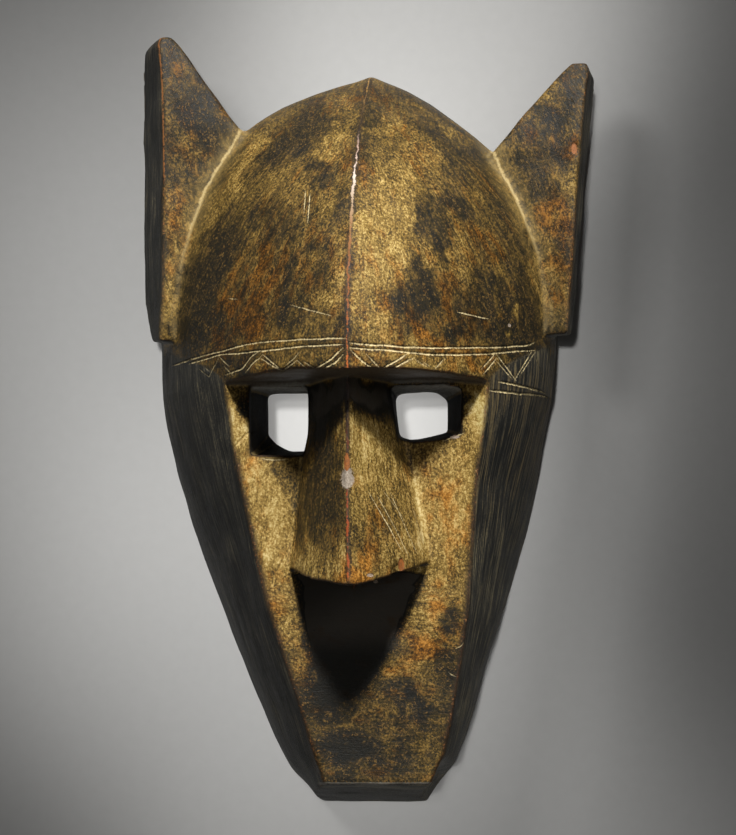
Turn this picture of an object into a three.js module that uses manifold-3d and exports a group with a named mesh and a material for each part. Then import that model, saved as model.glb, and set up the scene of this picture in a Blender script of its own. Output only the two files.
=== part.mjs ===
// A West African hyena mask, carved from one block of wood, lying on the flat rim of its hollow back.
//
// The mask has its own drawing frame: x to the right as one looks at its face, y from the chin up to
// the ears, z from the back rim out to the nose, in millimetres. The part's frame is the same, with
// the origin moved to the middle of the underside.
import * as THREE from 'three';
import { mergeVertices } from 'three/addons/utils/BufferGeometryUtils.js';
import Module from 'manifold-3d';

// Driving dimensions, in millimetres, slopes in degrees from the rim plane.
const BROW_Y = 221.5;
const BROW_ARCH = 2.4;
const RIM_WALL = 14;
const CHIN_LEAN = 0.105;
const CHIN_LEAN_END_Y = 60;

// Face and side walls below the brow, from the chin up. Each row is the height y, the rim's x on the
// left and right, the face edge's x on the left and right, the edge's depth z, and how deep the face is
// dished between its edges.
const FACE_ROWS = [
  { y: -1.5, rimL: -28, rimR: 30, edgeL: -23, edgeR: 35.5, edgeZ: 84, dish: 1 },
  { y: 9, rimL: -38, rimR: 37, edgeL: -25, edgeR: 39, edgeZ: 84.5, dish: 1.5 },
  { y: 18, rimL: -46.8, rimR: 43.4, edgeL: -28, edgeR: 42, edgeZ: 85, dish: 2 },
  { y: 52, rimL: -62.7, rimR: 56.2, edgeL: -36.6, edgeR: 48, edgeZ: 87, dish: 2.5 },
  { y: 79, rimL: -74, rimR: 64.7, edgeL: -45.2, edgeR: 52.4, edgeZ: 89, dish: 3 },
  { y: 106, rimL: -84.9, rimR: 73.6, edgeL: -53.7, edgeR: 55.7, edgeZ: 91, dish: 4 },
  { y: 144, rimL: -99.6, rimR: 85.4, edgeL: -62, edgeR: 58.6, edgeZ: 94, dish: 5 },
  { y: 176, rimL: -108.6, rimR: 92, edgeL: -68.7, edgeR: 61.2, edgeZ: 98, dish: 8 },
  { y: 200, rimL: -113.6, rimR: 96.2, edgeL: -72, edgeR: 64.3, edgeZ: 101, dish: 11 },
  { y: BROW_Y, rimL: -117.2, rimR: 100.5, edgeL: -75.1, edgeR: 67.1, edgeZ: 104, dish: 13 },
];
const BROW = FACE_ROWS[FACE_ROWS.length - 1];
const CHEEK_FULLNESS_AT_RIM = 12;
const CHEEK_FULLNESS_AT_EDGE = 10;
const TEMPLE_START_Y = 120;
const FACE_DISH_SQUARENESS = 3;

// The dome above the brow is a fan of cuts that turn about the line through both temples on the rim.
// Each row is the turn from straight out (0) to the rim plane (90), the keel's x and distance from that
// line, and the shoulder's x and distance on the left and right.
const DOME_ROWS = [
  { turn: 0, keelX: -5.6, keel: 162, leftX: -75.1, left: 104, rightX: 67.1, right: 104 },
  { turn: 22, keelX: -5.4, keel: 164.5, leftX: -77, left: 108, rightX: 70, right: 108 },
  { turn: 45, keelX: -3.4, keel: 169.5, leftX: -78, left: 122, rightX: 74, right: 119 },
  { turn: 64, keelX: -0.6, keel: 179, leftX: -78, left: 143, rightX: 75, right: 132 },
  { turn: 76, keelX: 0.8, keel: 185.5, leftX: -78, left: 149, rightX: 74, right: 137 },
  { turn: 90, keelX: 1.2, keel: 179, leftX: -79, left: 145, rightX: 74, right: 133 },
];
const WALL_SLOPE_AT_RIM = 97;
const SHOULDER_SLOPE_AT_BROW = 53;
const SHOULDER_SLOPE_AT_TOP = 43;
const KEEL_SLOPE_AT_BROW = 24;
const KEEL_SLOPE_AT_TOP = 19;
const BEND_REACH = 0.37;

// The hollow below the brow: wall on the left and right, and depth from the rim, by height y.
const CAVITY_ROWS = [
  { y: 22, wallL: 30, wallR: 28, depth: 4 },
  { y: 30, wallL: 21, wallR: 20, depth: 34 },
  { y: 44, wallL: 16, wallR: 16, depth: 56 },
  { y: 70, wallL: RIM_WALL, wallR: RIM_WALL, depth: 66 },
  { y: 110, wallL: RIM_WALL, wallR: RIM_WALL, depth: 69 },
  { y: 150, wallL: RIM_WALL, wallR: RIM_WALL, depth: 66 },
  { y: 190, wallL: RIM_WALL, wallR: RIM_WALL, depth: 62 },
  { y: BROW_Y, wallL: RIM_WALL, wallR: RIM_WALL, depth: 61 },
];
const CAVITY_SQUARENESS = 2.35;
const CAVITY_CHIN_CROWDING = 1.4;

// The hollow inside the dome: its depth along each cut of the fan. The brow is left thick.
const CAVITY_DOME_ROWS = [
  { turn: 0, depth: 61 },
  { turn: 8, depth: 66 },
  { turn: 16, depth: 92 },
  { turn: 24, depth: 126 },
  { turn: 34, depth: 146 },
  { turn: 50, depth: 154 },
  { turn: 70, depth: 165 },
  { turn: 90, depth: 162 },
];
const CUT_BELOW_RIM = 4;

// The nose, from its tip to its root under the brow: the keel, the left and right base edges, and how far
// the flanks bulge.
const NOSE_ROWS = [
  { y: 109.3, keelX: -5.7, keelZ: 147, baseL: -42.9, baseR: 37.2, baseZ: 80, bulge: 7.5 },
  { y: 150, keelX: -6.6, keelZ: 144, baseL: -39.2, baseR: 33, baseZ: 77, bulge: 5 },
  { y: 199, keelX: -6.7, keelZ: 141, baseL: -37.2, baseR: 24.4, baseZ: 72, bulge: 3 },
  { y: 226, keelX: -6.7, keelZ: 139.5, baseL: -36, baseR: 20, baseZ: 70, bulge: 2.5 },
];
const NOSE_UNDERCUT = 0.26;
const NOSE_TIP_TILT = 0.04;

// The eye holes are hand-cut funnels through the wall: an outline at the back and one at the front.
const EYE_CUT_BOTTOM_Z = 50;
const EYE_BACK_Z = 62;
const EYE_FRONT_Z = 88;
const EYE_CUT_TOP_Z = 102;
const EYES = [
  {
    back: [
      [-54.8, 221.2], [-31.6, 221], [-29.4, 219], [-30.4, 197.5], [-32.6, 189.4], [-42.5, 190.2],
      [-50, 193.4], [-54.6, 198.4],
    ],
    front: [
      [-61.4, 220.9], [-34, 220.9], [-31, 220], [-31.6, 196], [-33.4, 184.6], [-44, 184.4],
      [-52, 184.6], [-60.6, 185],
    ],
  },
  {
    back: [
      [15.4, 218.4], [18, 220.6], [36.5, 222], [43.6, 217.4], [43.6, 199.4], [34, 197],
      [23.2, 195.8], [17.6, 197.2],
    ],
    front: [
      [14.4, 220], [18, 220.9], [42, 220.9], [51.4, 219], [51.4, 195.6], [38, 192.8],
      [26, 192], [18.6, 193.4],
    ],
  },
];

// Each ear is a slab, given in four-cornered cuts across it from its foot up to its blunt tip. Each row
// is the height y, then x and z of the front face's outer and inner edge, and of the back's inner and
// outer edge. The inner edges of the lower rows are buried in the dome.
const LEFT_EAR = [
  { y: 250.2, front: [-115, 63, -97, 54], back: [-97, 26, -121.2, 40] },
  { y: 275, front: [-113.2, 65.5, -92, 55], back: [-92, 26, -126.4, 37] },
  { y: 305, front: [-113, 66, -84, 56], back: [-84, 28, -127.6, 36] },
  { y: 345, front: [-113.2, 66, -62, 57], back: [-62, 30, -128, 36] },
  { y: 369.3, front: [-113.6, 66, -70.5, 59], back: [-69, 30, -128.3, 36] },
  { y: 390, front: [-114.3, 65.5, -85.6, 59.5], back: [-85.5, 33, -128.4, 36.5] },
  { y: 403, front: [-115.2, 64.5, -95.2, 60], back: [-95.5, 36, -128.3, 37.5] },
  { y: 417, front: [-117, 63, -104.2, 60], back: [-105, 41, -127.9, 39.5] },
  { y: 422.4, front: [-115.6, 61.5, -109.4, 61], back: [-110, 43, -122.5, 42.5] },
];
const RIGHT_EAR = [
  { y: 252.4, front: [109.6, 63, 92, 54], back: [92, 26, 112, 40] },
  { y: 290, front: [112.4, 66, 84, 55], back: [84, 27, 116, 36.5] },
  { y: 336, front: [115.8, 66, 60, 56], back: [60, 30, 119.6, 36] },
  { y: 356.3, front: [117.4, 66, 69, 59], back: [67.5, 30, 121.3, 36] },
  { y: 377.8, front: [119.4, 65, 86.7, 59.5], back: [85.5, 33, 124, 36.5] },
  { y: 389.2, front: [120.8, 64, 97.8, 60], back: [96.5, 36, 125.6, 37] },
  { y: 399, front: [122.2, 62.5, 107, 60], back: [106, 40, 126.6, 39] },
  { y: 404.4, front: [121, 61.5, 113, 60.5], back: [112.5, 43, 123.6, 42.5] },
];
const EAR_FOOT_SLANT = 0.1;

// How finely the faceted solid follows its curves.
const WALL_STEPS = 5;
const FRONT_STEPS = 8;
const LOWER_RINGS = 13;
const FAN_RINGS = 12;
const CAVITY_STEPS = 16;
const CAVITY_LOWER_RINGS = 9;
const CAVITY_FAN_RINGS = 10;
const EAR_FACE_STEPS = 3;
const EAR_RING_SPACING = 10;
const NOSE_FLANK_STEPS = 4;
const NOSE_RINGS = 6;
const MERGE_DISTANCE = 1e-3;

const WOOD_COLOUR = 0x5a4120;
const WOOD_ROUGHNESS = 0.55;

const lerp = THREE.MathUtils.lerp;
const radians = THREE.MathUtils.degToRad;
const degrees = THREE.MathUtils.radToDeg;
const point = (x, y) => new THREE.Vector2(x, y);

// A smooth curve through the rows' values of one field, read at a place between them.
function along(rows, key, field, at) {
  const last = rows.length - 1;
  let i = 0;
  while (i < last - 1 && at > rows[i + 1][key]) i += 1;
  const slope = (a, b) => (rows[b][field] - rows[a][field]) / (rows[b][key] - rows[a][key]);
  const span = rows[i + 1][key] - rows[i][key];
  const t = (at - rows[i][key]) / span;
  const h = 1 - t;
  const startSlope = i > 0 ? slope(i - 1, i + 1) : slope(i, i + 1);
  const endSlope = i + 2 <= last ? slope(i, i + 2) : slope(i, i + 1);
  return (
    rows[i][field] * h * h * (1 + 2 * t) +
    rows[i + 1][field] * t * t * (3 - 2 * t) +
    startSlope * span * t * h * h -
    endSlope * span * t * t * h
  );
}

// A curve between two points of a cut, which leaves and arrives at given slopes as it goes inwards.
function bend(from, fromSlope, to, toSlope, steps) {
  const inwards = Math.sign(to.x - from.x);
  const reach = from.distanceTo(to) * BEND_REACH;
  const heading = (slope) => point(Math.cos(radians(slope)) * inwards, Math.sin(radians(slope)));
  const leaving = from.clone().addScaledVector(heading(fromSlope), reach);
  const arriving = to.clone().addScaledVector(heading(toSlope), -reach);
  return new THREE.CubicBezierCurve(from, leaving, arriving, to).getPoints(steps);
}

// Joins a left wall, a front and a right wall into one open cut from rim to rim.
function joinCut(leftWall, front, rightWall) {
  return [...leftWall.slice(0, -1), ...front, ...rightWall.slice(0, -1).reverse()];
}

// A cut across the cheeks and the dished face, at one height.
function faceCut(y) {
  const at = (field) => along(FACE_ROWS, 'y', field, y);
  const temple = THREE.MathUtils.smoothstep(y, TEMPLE_START_Y, BROW_Y);
  const wall = (rimX, edgeX) => {
    const chord = degrees(Math.atan2(at('edgeZ'), Math.abs(rimX - edgeX)));
    const rimSlope = lerp(chord + CHEEK_FULLNESS_AT_RIM, WALL_SLOPE_AT_RIM, temple);
    const edgeSlope = lerp(chord - CHEEK_FULLNESS_AT_EDGE, SHOULDER_SLOPE_AT_BROW, temple);
    return bend(point(rimX, 0), rimSlope, point(edgeX, at('edgeZ')), edgeSlope, WALL_STEPS);
  };
  const front = Array.from({ length: 2 * FRONT_STEPS + 1 }, (_, i) => {
    const across = -Math.cos((Math.PI * i) / (2 * FRONT_STEPS));
    const x = lerp(at('edgeL'), at('edgeR'), (1 + across) / 2);
    return point(x, at('edgeZ') - at('dish') * (1 - Math.abs(across) ** FACE_DISH_SQUARENESS));
  });
  return joinCut(wall(at('rimL'), at('edgeL')), front, wall(at('rimR'), at('edgeR')));
}

const shoulderSlope = (turn) => lerp(SHOULDER_SLOPE_AT_BROW, SHOULDER_SLOPE_AT_TOP, turn / 90);

// A cut of the keeled dome, at one turn of the fan.
function domeCut(turn) {
  const at = (field) => along(DOME_ROWS, 'turn', field, turn);
  const keel = point(at('keelX'), at('keel'));
  const keelSlope = lerp(KEEL_SLOPE_AT_BROW, KEEL_SLOPE_AT_TOP, turn / 90);
  const slope = shoulderSlope(turn);
  const wall = (rimX, shoulder) => bend(point(rimX, 0), WALL_SLOPE_AT_RIM, shoulder, slope, WALL_STEPS);
  const half = (shoulder) => bend(shoulder, slope, keel, keelSlope, FRONT_STEPS);
  const left = point(at('leftX'), at('left'));
  const right = point(at('rightX'), at('right'));
  const front = [...half(left), ...half(right).slice(0, -1).reverse()];
  return joinCut(wall(BROW.rimL, left), front, wall(BROW.rimR, right));
}

// The brow is cut in two flat arches, one over each eye, which meet at the keel.
function browRise(x) {
  const { leftX, keelX, rightX } = DOME_ROWS[0];
  const t = x < keelX ? (x - leftX) / (keelX - leftX) : (rightX - x) / (rightX - keelX);
  return t > 0 ? BROW_ARCH * 4 * t * (1 - t) : 0;
}

// Stands a cut of the block across the mask. The chin's end leans and the brow's end is arched.
function standing(cut, y) {
  const lean = CHIN_LEAN * THREE.MathUtils.clamp(1 - y / CHIN_LEAN_END_Y, 0, 1);
  const arch = y < BROW_Y ? 0 : 1;
  return cut.map((p) => new THREE.Vector3(p.x, y + lean * p.y + arch * browRise(p.x), p.y));
}

// Turns a cut of the fan about the line through the temples.
function turned(cut, turn, baseZ = 0) {
  const up = Math.sin(radians(turn));
  const out = Math.cos(radians(turn));
  return cut.map((p) => new THREE.Vector3(p.x, BROW_Y + up * p.y, baseZ + out * p.y));
}

// Makes a solid of points and triangles, with its faces pointing out.
function toSolid(points, faces) {
  const raw = new THREE.BufferGeometry().setFromPoints(points);
  raw.setIndex(faces.flat());
  const merged = mergeVertices(raw, MERGE_DISTANCE);
  const corner = (k) => new THREE.Vector3().fromBufferAttribute(merged.attributes.position, k);
  const index = merged.index.array;
  const triVerts = [];
  let volume = 0;
  for (let i = 0; i < index.length; i += 3) {
    const [a, b, c] = index.slice(i, i + 3);
    if (a === b || b === c || c === a) continue;
    triVerts.push(a, b, c);
    volume += corner(a).dot(corner(b).cross(corner(c)));
  }
  if (volume < 0) triVerts.reverse();
  const vertProperties = new Float32Array(merged.attributes.position.array);
  return new wasm.Manifold(new wasm.Mesh({ numProp: 3, vertProperties, triVerts: new Uint32Array(triVerts) }));
}

// Skins a row of closed rings of equal count, and caps both ends.
function skin(rings) {
  const count = rings[0].length;
  const points = rings.flat();
  const faces = [];
  for (let r = 0; r < rings.length - 1; r += 1) {
    for (let i = 0; i < count; i += 1) {
      const a = r * count + i;
      const b = r * count + ((i + 1) % count);
      faces.push([a, b, b + count], [a, b + count, a + count]);
    }
  }
  const cap = (start, flipped) => {
    const ring = points.slice(start, start + count);
    const normal = new THREE.Vector3();
    ring.forEach((p, i) => normal.add(p.clone().cross(ring[(i + 1) % count])));
    const flat = new THREE.Quaternion().setFromUnitVectors(normal.normalize(), new THREE.Vector3(0, 0, 1));
    const outline = ring.map((p) => p.clone().applyQuaternion(flat));
    for (const [a, b, c] of THREE.ShapeUtils.triangulateShape(outline, [])) {
      faces.push(flipped ? [start + a, start + c, start + b] : [start + a, start + b, start + c]);
    }
  };
  cap(0, true);
  cap((rings.length - 1) * count, false);
  return toSolid(points, faces);
}

// The block's outer form: side walls, dished face, brow shelf and keeled dome in one skin.
function makeBlock() {
  const chinY = FACE_ROWS[0].y;
  const rings = [];
  for (let i = 0; i <= LOWER_RINGS; i += 1) {
    const y = lerp(chinY, BROW_Y, i / LOWER_RINGS);
    rings.push(standing(faceCut(y), y));
  }
  rings.push(standing(domeCut(0), BROW_Y));
  for (let i = 1; i <= FAN_RINGS; i += 1) {
    const turn = (90 * i) / FAN_RINGS;
    rings.push(turned(domeCut(turn), turn));
  }
  return skin(rings);
}

// A rounded arch over the hollow, from one inner wall to the other.
function cavityFaceCut(y) {
  const at = (field) => along(CAVITY_ROWS, 'y', field, y);
  const left = along(FACE_ROWS, 'y', 'rimL', y) + at('wallL');
  const right = along(FACE_ROWS, 'y', 'rimR', y) - at('wallR');
  const power = 2 / CAVITY_SQUARENESS;
  return Array.from({ length: CAVITY_STEPS + 1 }, (_, i) => {
    const angle = Math.PI * (1 - i / CAVITY_STEPS);
    const across = Math.sign(Math.cos(angle)) * Math.abs(Math.cos(angle)) ** power;
    return point(lerp(left, right, (1 + across) / 2), (at('depth') + CUT_BELOW_RIM) * Math.sin(angle) ** power);
  });
}

// Inside the dome the hollow follows the outer form, one wall's thickness in, but has no keel.
function cavityDomeCut(turn) {
  const at = (field) => along(DOME_ROWS, 'turn', field, turn);
  const depth = along(CAVITY_DOME_ROWS, 'turn', 'depth', turn);
  const shrink = depth / (at('keel') - RIM_WALL);
  const crown = point(at('keelX'), depth);
  const outerSlope = radians(shoulderSlope(turn));
  const slope = degrees(Math.atan(shrink * Math.tan(outerSlope)));
  const half = (rimX, x, distance, inwards) => {
    const rim = point(rimX + inwards * RIM_WALL, 0);
    const shoulder = point(
      x + inwards * RIM_WALL * Math.sin(outerSlope),
      shrink * (distance - RIM_WALL * Math.cos(outerSlope)),
    );
    const wall = bend(rim, WALL_SLOPE_AT_RIM, shoulder, slope, CAVITY_STEPS / 4);
    return [...wall.slice(0, -1), ...bend(shoulder, slope, crown, 0, CAVITY_STEPS / 4)];
  };
  const right = half(BROW.rimR, at('rightX'), at('right'), -1);
  return [...half(BROW.rimL, at('leftX'), at('left'), 1), ...right.slice(0, -1).reverse()];
}

function makeCavity() {
  const startY = CAVITY_ROWS[0].y;
  const rings = [];
  for (let i = 0; i <= CAVITY_LOWER_RINGS; i += 1) {
    const y = lerp(startY, BROW_Y, (i / CAVITY_LOWER_RINGS) ** CAVITY_CHIN_CROWDING);
    rings.push(cavityFaceCut(y).map((p) => new THREE.Vector3(p.x, y, p.y - CUT_BELOW_RIM)));
  }
  for (let i = 1; i <= CAVITY_FAN_RINGS; i += 1) {
    const turn = (90 * i) / CAVITY_FAN_RINGS;
    rings.push(turned(cavityDomeCut(turn), turn, -CUT_BELOW_RIM));
  }
  return skin(rings);
}

// The nose: a keeled wedge from under the brow, cut off below by a sloping undercut.
function makeNose() {
  const tip = NOSE_ROWS[0];
  const root = NOSE_ROWS[NOSE_ROWS.length - 1];
  const flank = (from, to, bulge) => {
    const outwards = point(from.y - to.y, to.x - from.x).normalize();
    return Array.from({ length: NOSE_FLANK_STEPS }, (_, i) => {
      const t = i / NOSE_FLANK_STEPS;
      return from.clone().lerp(to, t).addScaledVector(outwards, bulge * 4 * t * (1 - t));
    });
  };
  const rings = [];
  for (let i = 0; i <= NOSE_RINGS; i += 1) {
    const t = i / NOSE_RINGS;
    const y = lerp(tip.y, root.y, t);
    const at = (field) => along(NOSE_ROWS, 'y', field, y);
    const keel = point(at('keelX'), at('keelZ'));
    const left = point(at('baseL'), at('baseZ'));
    const right = point(at('baseR'), at('baseZ'));
    const cut = [...flank(left, keel, at('bulge')), ...flank(keel, right, at('bulge')), right];
    rings.push(
      cut.map((p) => {
        const undercut = NOSE_UNDERCUT * (tip.keelZ - p.y) + NOSE_TIP_TILT * (p.x - tip.keelX);
        return new THREE.Vector3(p.x, y + undercut * (1 - t), p.y);
      }),
    );
  }
  return skin(rings);
}

function makeEye({ back, front }) {
  const ring = (outline, z) => outline.map(([x, y]) => new THREE.Vector3(x, y, z));
  return skin([
    ring(back, EYE_CUT_BOTTOM_Z),
    ring(back, EYE_BACK_Z),
    ring(front, EYE_FRONT_Z),
    ring(front, EYE_CUT_TOP_Z),
  ]);
}

function makeEar(rows) {
  const rings = [];
  const ringAt = (row, next, t) => {
    const between = (side) => row[side].map((value, k) => lerp(value, next[side][k], t));
    const [outerX, outerZ, innerX, innerZ] = between('front');
    const [backInnerX, backInnerZ, backOuterX, backOuterZ] = between('back');
    const y = lerp(row.y, next.y, t);
    const slant = rings.length === 0 ? EAR_FOOT_SLANT : 0;
    const corner = (x, z) => new THREE.Vector3(x, y + slant * (outerZ - z), z);
    const face = Array.from({ length: EAR_FACE_STEPS + 1 }, (_, k) => {
      const across = k / EAR_FACE_STEPS;
      return corner(lerp(outerX, innerX, across), lerp(outerZ, innerZ, across));
    });
    return [...face, corner(backInnerX, backInnerZ), corner(backOuterX, backOuterZ)];
  };
  for (let i = 0; i < rows.length - 1; i += 1) {
    const steps = Math.ceil((rows[i + 1].y - rows[i].y) / EAR_RING_SPACING);
    for (let k = 0; k < steps; k += 1) rings.push(ringAt(rows[i], rows[i + 1], k / steps));
  }
  const tip = rows[rows.length - 1];
  rings.push(ringAt(tip, tip, 0));
  return skin(rings);
}

function makeMask() {
  const carved = [makeNose(), makeEar(LEFT_EAR), makeEar(RIGHT_EAR)];
  const block = carved.reduce((body, form) => body.add(form), makeBlock());
  return [makeCavity(), ...EYES.map(makeEye)].reduce((body, cut) => body.subtract(cut), block);
}

function toGeometry(solid) {
  const { vertProperties, triVerts } = solid.getMesh();
  const geometry = new THREE.BufferGeometry();
  geometry.setAttribute('position', new THREE.Float32BufferAttribute(vertProperties, 3));
  geometry.setIndex(Array.from(triVerts));
  geometry.computeVertexNormals();
  geometry.computeBoundingBox();
  return geometry;
}

const wasm = await Module();
wasm.setup();

const wood = new THREE.MeshStandardMaterial({ color: WOOD_COLOUR, roughness: WOOD_ROUGHNESS, metalness: 0 });
const mask = new THREE.Mesh(toGeometry(makeMask()), wood);
const middle = mask.geometry.boundingBox.getCenter(new THREE.Vector3());
mask.name = 'mask';
mask.position.set(-middle.x, -middle.y, 0);

const part = new THREE.Group();
part.add(mask);

export default part;
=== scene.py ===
import math

import bpy
import numpy as np
import openvdb as vdb
from mathutils import Matrix, Vector, kdtree
from mathutils.bvhtree import BVHTree


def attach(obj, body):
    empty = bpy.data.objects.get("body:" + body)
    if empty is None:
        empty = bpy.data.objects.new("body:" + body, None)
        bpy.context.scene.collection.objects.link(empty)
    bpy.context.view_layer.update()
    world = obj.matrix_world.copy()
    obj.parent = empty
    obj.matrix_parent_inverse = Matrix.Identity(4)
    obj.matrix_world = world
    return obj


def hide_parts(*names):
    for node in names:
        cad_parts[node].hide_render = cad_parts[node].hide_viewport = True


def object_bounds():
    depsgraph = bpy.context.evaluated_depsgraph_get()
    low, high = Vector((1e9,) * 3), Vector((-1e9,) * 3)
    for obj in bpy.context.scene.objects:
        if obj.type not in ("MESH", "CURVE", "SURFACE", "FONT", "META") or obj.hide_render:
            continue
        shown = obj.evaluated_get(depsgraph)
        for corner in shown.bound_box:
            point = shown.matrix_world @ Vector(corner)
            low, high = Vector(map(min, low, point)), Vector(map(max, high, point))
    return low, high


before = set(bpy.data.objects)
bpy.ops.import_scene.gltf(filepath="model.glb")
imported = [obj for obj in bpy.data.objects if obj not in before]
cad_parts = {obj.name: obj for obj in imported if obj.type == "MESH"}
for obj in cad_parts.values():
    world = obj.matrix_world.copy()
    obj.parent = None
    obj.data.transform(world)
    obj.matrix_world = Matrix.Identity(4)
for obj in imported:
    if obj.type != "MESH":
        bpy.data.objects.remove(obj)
cad_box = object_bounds()

MM = 0.001
PART_ORIGIN = np.array([-0.9, 210.45, 0.0])  # the part's origin, in the drawing frame

# Driving dimensions of the carving, in millimetres and degrees.
BROW_Y = 221.5
BROW_ARCH = 2.4
RIM_WALL = 14
CHIN_LEAN = 0.105
CHIN_LEAN_END_Y = 60

FACE_ROWS = dict(
    y=[-1.5, 9, 18, 52, 79, 106, 144, 176, 200, 221.5],
    rimL=[-28, -38, -46.8, -62.7, -74, -84.9, -99.6, -108.6, -113.6, -117.2],
    rimR=[30, 37, 43.4, 56.2, 64.7, 73.6, 85.4, 92, 96.2, 100.5],
    edgeL=[-23, -25, -28, -36.6, -45.2, -53.7, -62, -68.7, -72, -75.1],
    edgeR=[35.5, 39, 42, 48, 52.4, 55.7, 58.6, 61.2, 64.3, 67.1],
    edgeZ=[84, 84.5, 85, 87, 89, 91, 94, 98, 101, 104],
    dish=[1, 1.5, 2, 2.5, 3, 4, 5, 8, 11, 13],
)
CHEEK_FULLNESS_AT_RIM = 12
CHEEK_FULLNESS_AT_EDGE = 10
TEMPLE_START_Y = 120
FACE_DISH_SQUARENESS = 3

DOME_ROWS = dict(
    turn=[0, 22, 45, 64, 76, 90],
    keelX=[-5.6, -5.4, -3.4, -0.6, 0.8, 1.2],
    keel=[162, 164.5, 169.5, 179, 185.5, 179],
    leftX=[-75.1, -77, -78, -78, -78, -79],
    left=[104, 108, 122, 143, 149, 145],
    rightX=[67.1, 70, 74, 75, 74, 74],
    right=[104, 108, 119, 132, 137, 133],
)
WALL_SLOPE_AT_RIM = 97
SHOULDER_SLOPE = (53, 43)
KEEL_SLOPE = (24, 19)
BEND_REACH = 0.37

CAVITY_ROWS = dict(
    y=[22, 30, 44, 70, 110, 150, 190, 221.5],
    wallL=[30, 21, 16, 14, 14, 14, 14, 14],
    wallR=[28, 20, 16, 14, 14, 14, 14, 14],
    depth=[4, 34, 56, 66, 69, 66, 62, 61],
)
CAVITY_SQUARENESS = 2.35
CAVITY_CHIN_CROWDING = 1.4
CAVITY_DOME_ROWS = dict(turn=[0, 8, 16, 24, 34, 50, 70, 90], depth=[61, 66, 92, 126, 146, 154, 165, 162])
CUT_BELOW_RIM = 4

NOSE_ROWS = dict(
    y=[109.3, 150, 199, 226],
    keelX=[-5.7, -6.6, -6.7, -6.7],
    keelZ=[147, 144, 141, 139.5],
    baseL=[-42.9, -39.2, -37.2, -36],
    baseR=[37.2, 33, 24.4, 20],
    baseZ=[80, 77, 72, 70],
    bulge=[7.5, 5, 3, 2.5],
)
NOSE_UNDERCUT = 0.26
NOSE_TIP_TILT = 0.04

# Eye holes: for each an outline at the back and one at the front, in x and y, and the levels between.
EYE_LEVELS = (50, 62, 88, 102)
EYES = [
    (
        [[-54.8, 221.2], [-31.6, 221], [-29.4, 219], [-30.4, 197.5], [-32.6, 189.4], [-42.5, 190.2],
         [-50, 193.4], [-54.6, 198.4]],
        [[-61.4, 220.9], [-34, 220.9], [-31, 220], [-31.6, 196], [-33.4, 184.6], [-44, 184.4],
         [-52, 184.6], [-60.6, 185]],
    ),
    (
        [[15.4, 218.4], [18, 220.6], [36.5, 222], [43.6, 217.4], [43.6, 199.4], [34, 197],
         [23.2, 195.8], [17.6, 197.2]],
        [[14.4, 220], [18, 220.9], [42, 220.9], [51.4, 219], [51.4, 195.6], [38, 192.8],
         [26, 192], [18.6, 193.4]],
    ),
]

# Ears: y, then x and z of the front's outer and inner edge and of the back's inner and outer edge.
LEFT_EAR = [
    (250.2, -115, 63, -97, 54, -97, 26, -121.2, 40),
    (275, -113.2, 65.5, -92, 55, -92, 26, -126.4, 37),
    (305, -113, 66, -84, 56, -84, 28, -127.6, 36),
    (345, -113.2, 66, -62, 57, -62, 30, -128, 36),
    (369.3, -113.6, 66, -70.5, 59, -69, 30, -128.3, 36),
    (390, -114.3, 65.5, -85.6, 59.5, -85.5, 33, -128.4, 36.5),
    (403, -115.2, 64.5, -95.2, 60, -95.5, 36, -128.3, 37.5),
    (417, -117, 63, -104.2, 60, -105, 41, -127.9, 39.5),
    (422.4, -115.6, 61.5, -109.4, 61, -110, 43, -122.5, 42.5),
]
RIGHT_EAR = [
    (252.4, 109.6, 63, 92, 54, 92, 26, 112, 40),
    (290, 112.4, 66, 84, 55, 84, 27, 116, 36.5),
    (336, 115.8, 66, 60, 56, 60, 30, 119.6, 36),
    (356.3, 117.4, 66, 69, 59, 67.5, 30, 121.3, 36),
    (377.8, 119.4, 65, 86.7, 59.5, 85.5, 33, 124, 36.5),
    (389.2, 120.8, 64, 97.8, 60, 96.5, 36, 125.6, 37),
    (399, 122.2, 62.5, 107, 60, 106, 40, 126.6, 39),
    (404.4, 121, 61.5, 113, 60.5, 112.5, 43, 123.6, 42.5),
]
EAR_FOOT_SLANT = 0.1

# How finely the forms are laid out before they are joined.
WALL_STEPS, FRONT_STEPS, LOWER_RINGS, FAN_RINGS = 20, 36, 60, 60
CAVITY_HALF_STEPS, CAVITY_LOWER_RINGS, CAVITY_FAN_RINGS = 18, 40, 40
NOSE_FLANK_STEPS, NOSE_RINGS = 12, 24
EAR_RING_GAP = 4


def along(rows, key, field, at):
    """A smooth curve through the rows' values of one field, read at a place between them."""
    keys, values = rows[key], rows[field]
    last = len(keys) - 1
    i = 0
    while i < last - 1 and at > keys[i + 1]:
        i += 1

    def slope(a, b):
        return (values[b] - values[a]) / (keys[b] - keys[a])

    span = keys[i + 1] - keys[i]
    t = (at - keys[i]) / span
    h = 1 - t
    start = slope(i - 1, i + 1) if i > 0 else slope(i, i + 1)
    end = slope(i, i + 2) if i + 2 <= last else slope(i, i + 1)
    return (values[i] * h * h * (1 + 2 * t) + values[i + 1] * t * t * (3 - 2 * t)
            + start * span * t * h * h - end * span * t * t * h)


def lerp(a, b, t):
    return a + (b - a) * t


def smoothstep(x, low, high):
    t = np.clip((x - low) / (high - low), 0, 1)
    return t * t * (3 - 2 * t)


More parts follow.
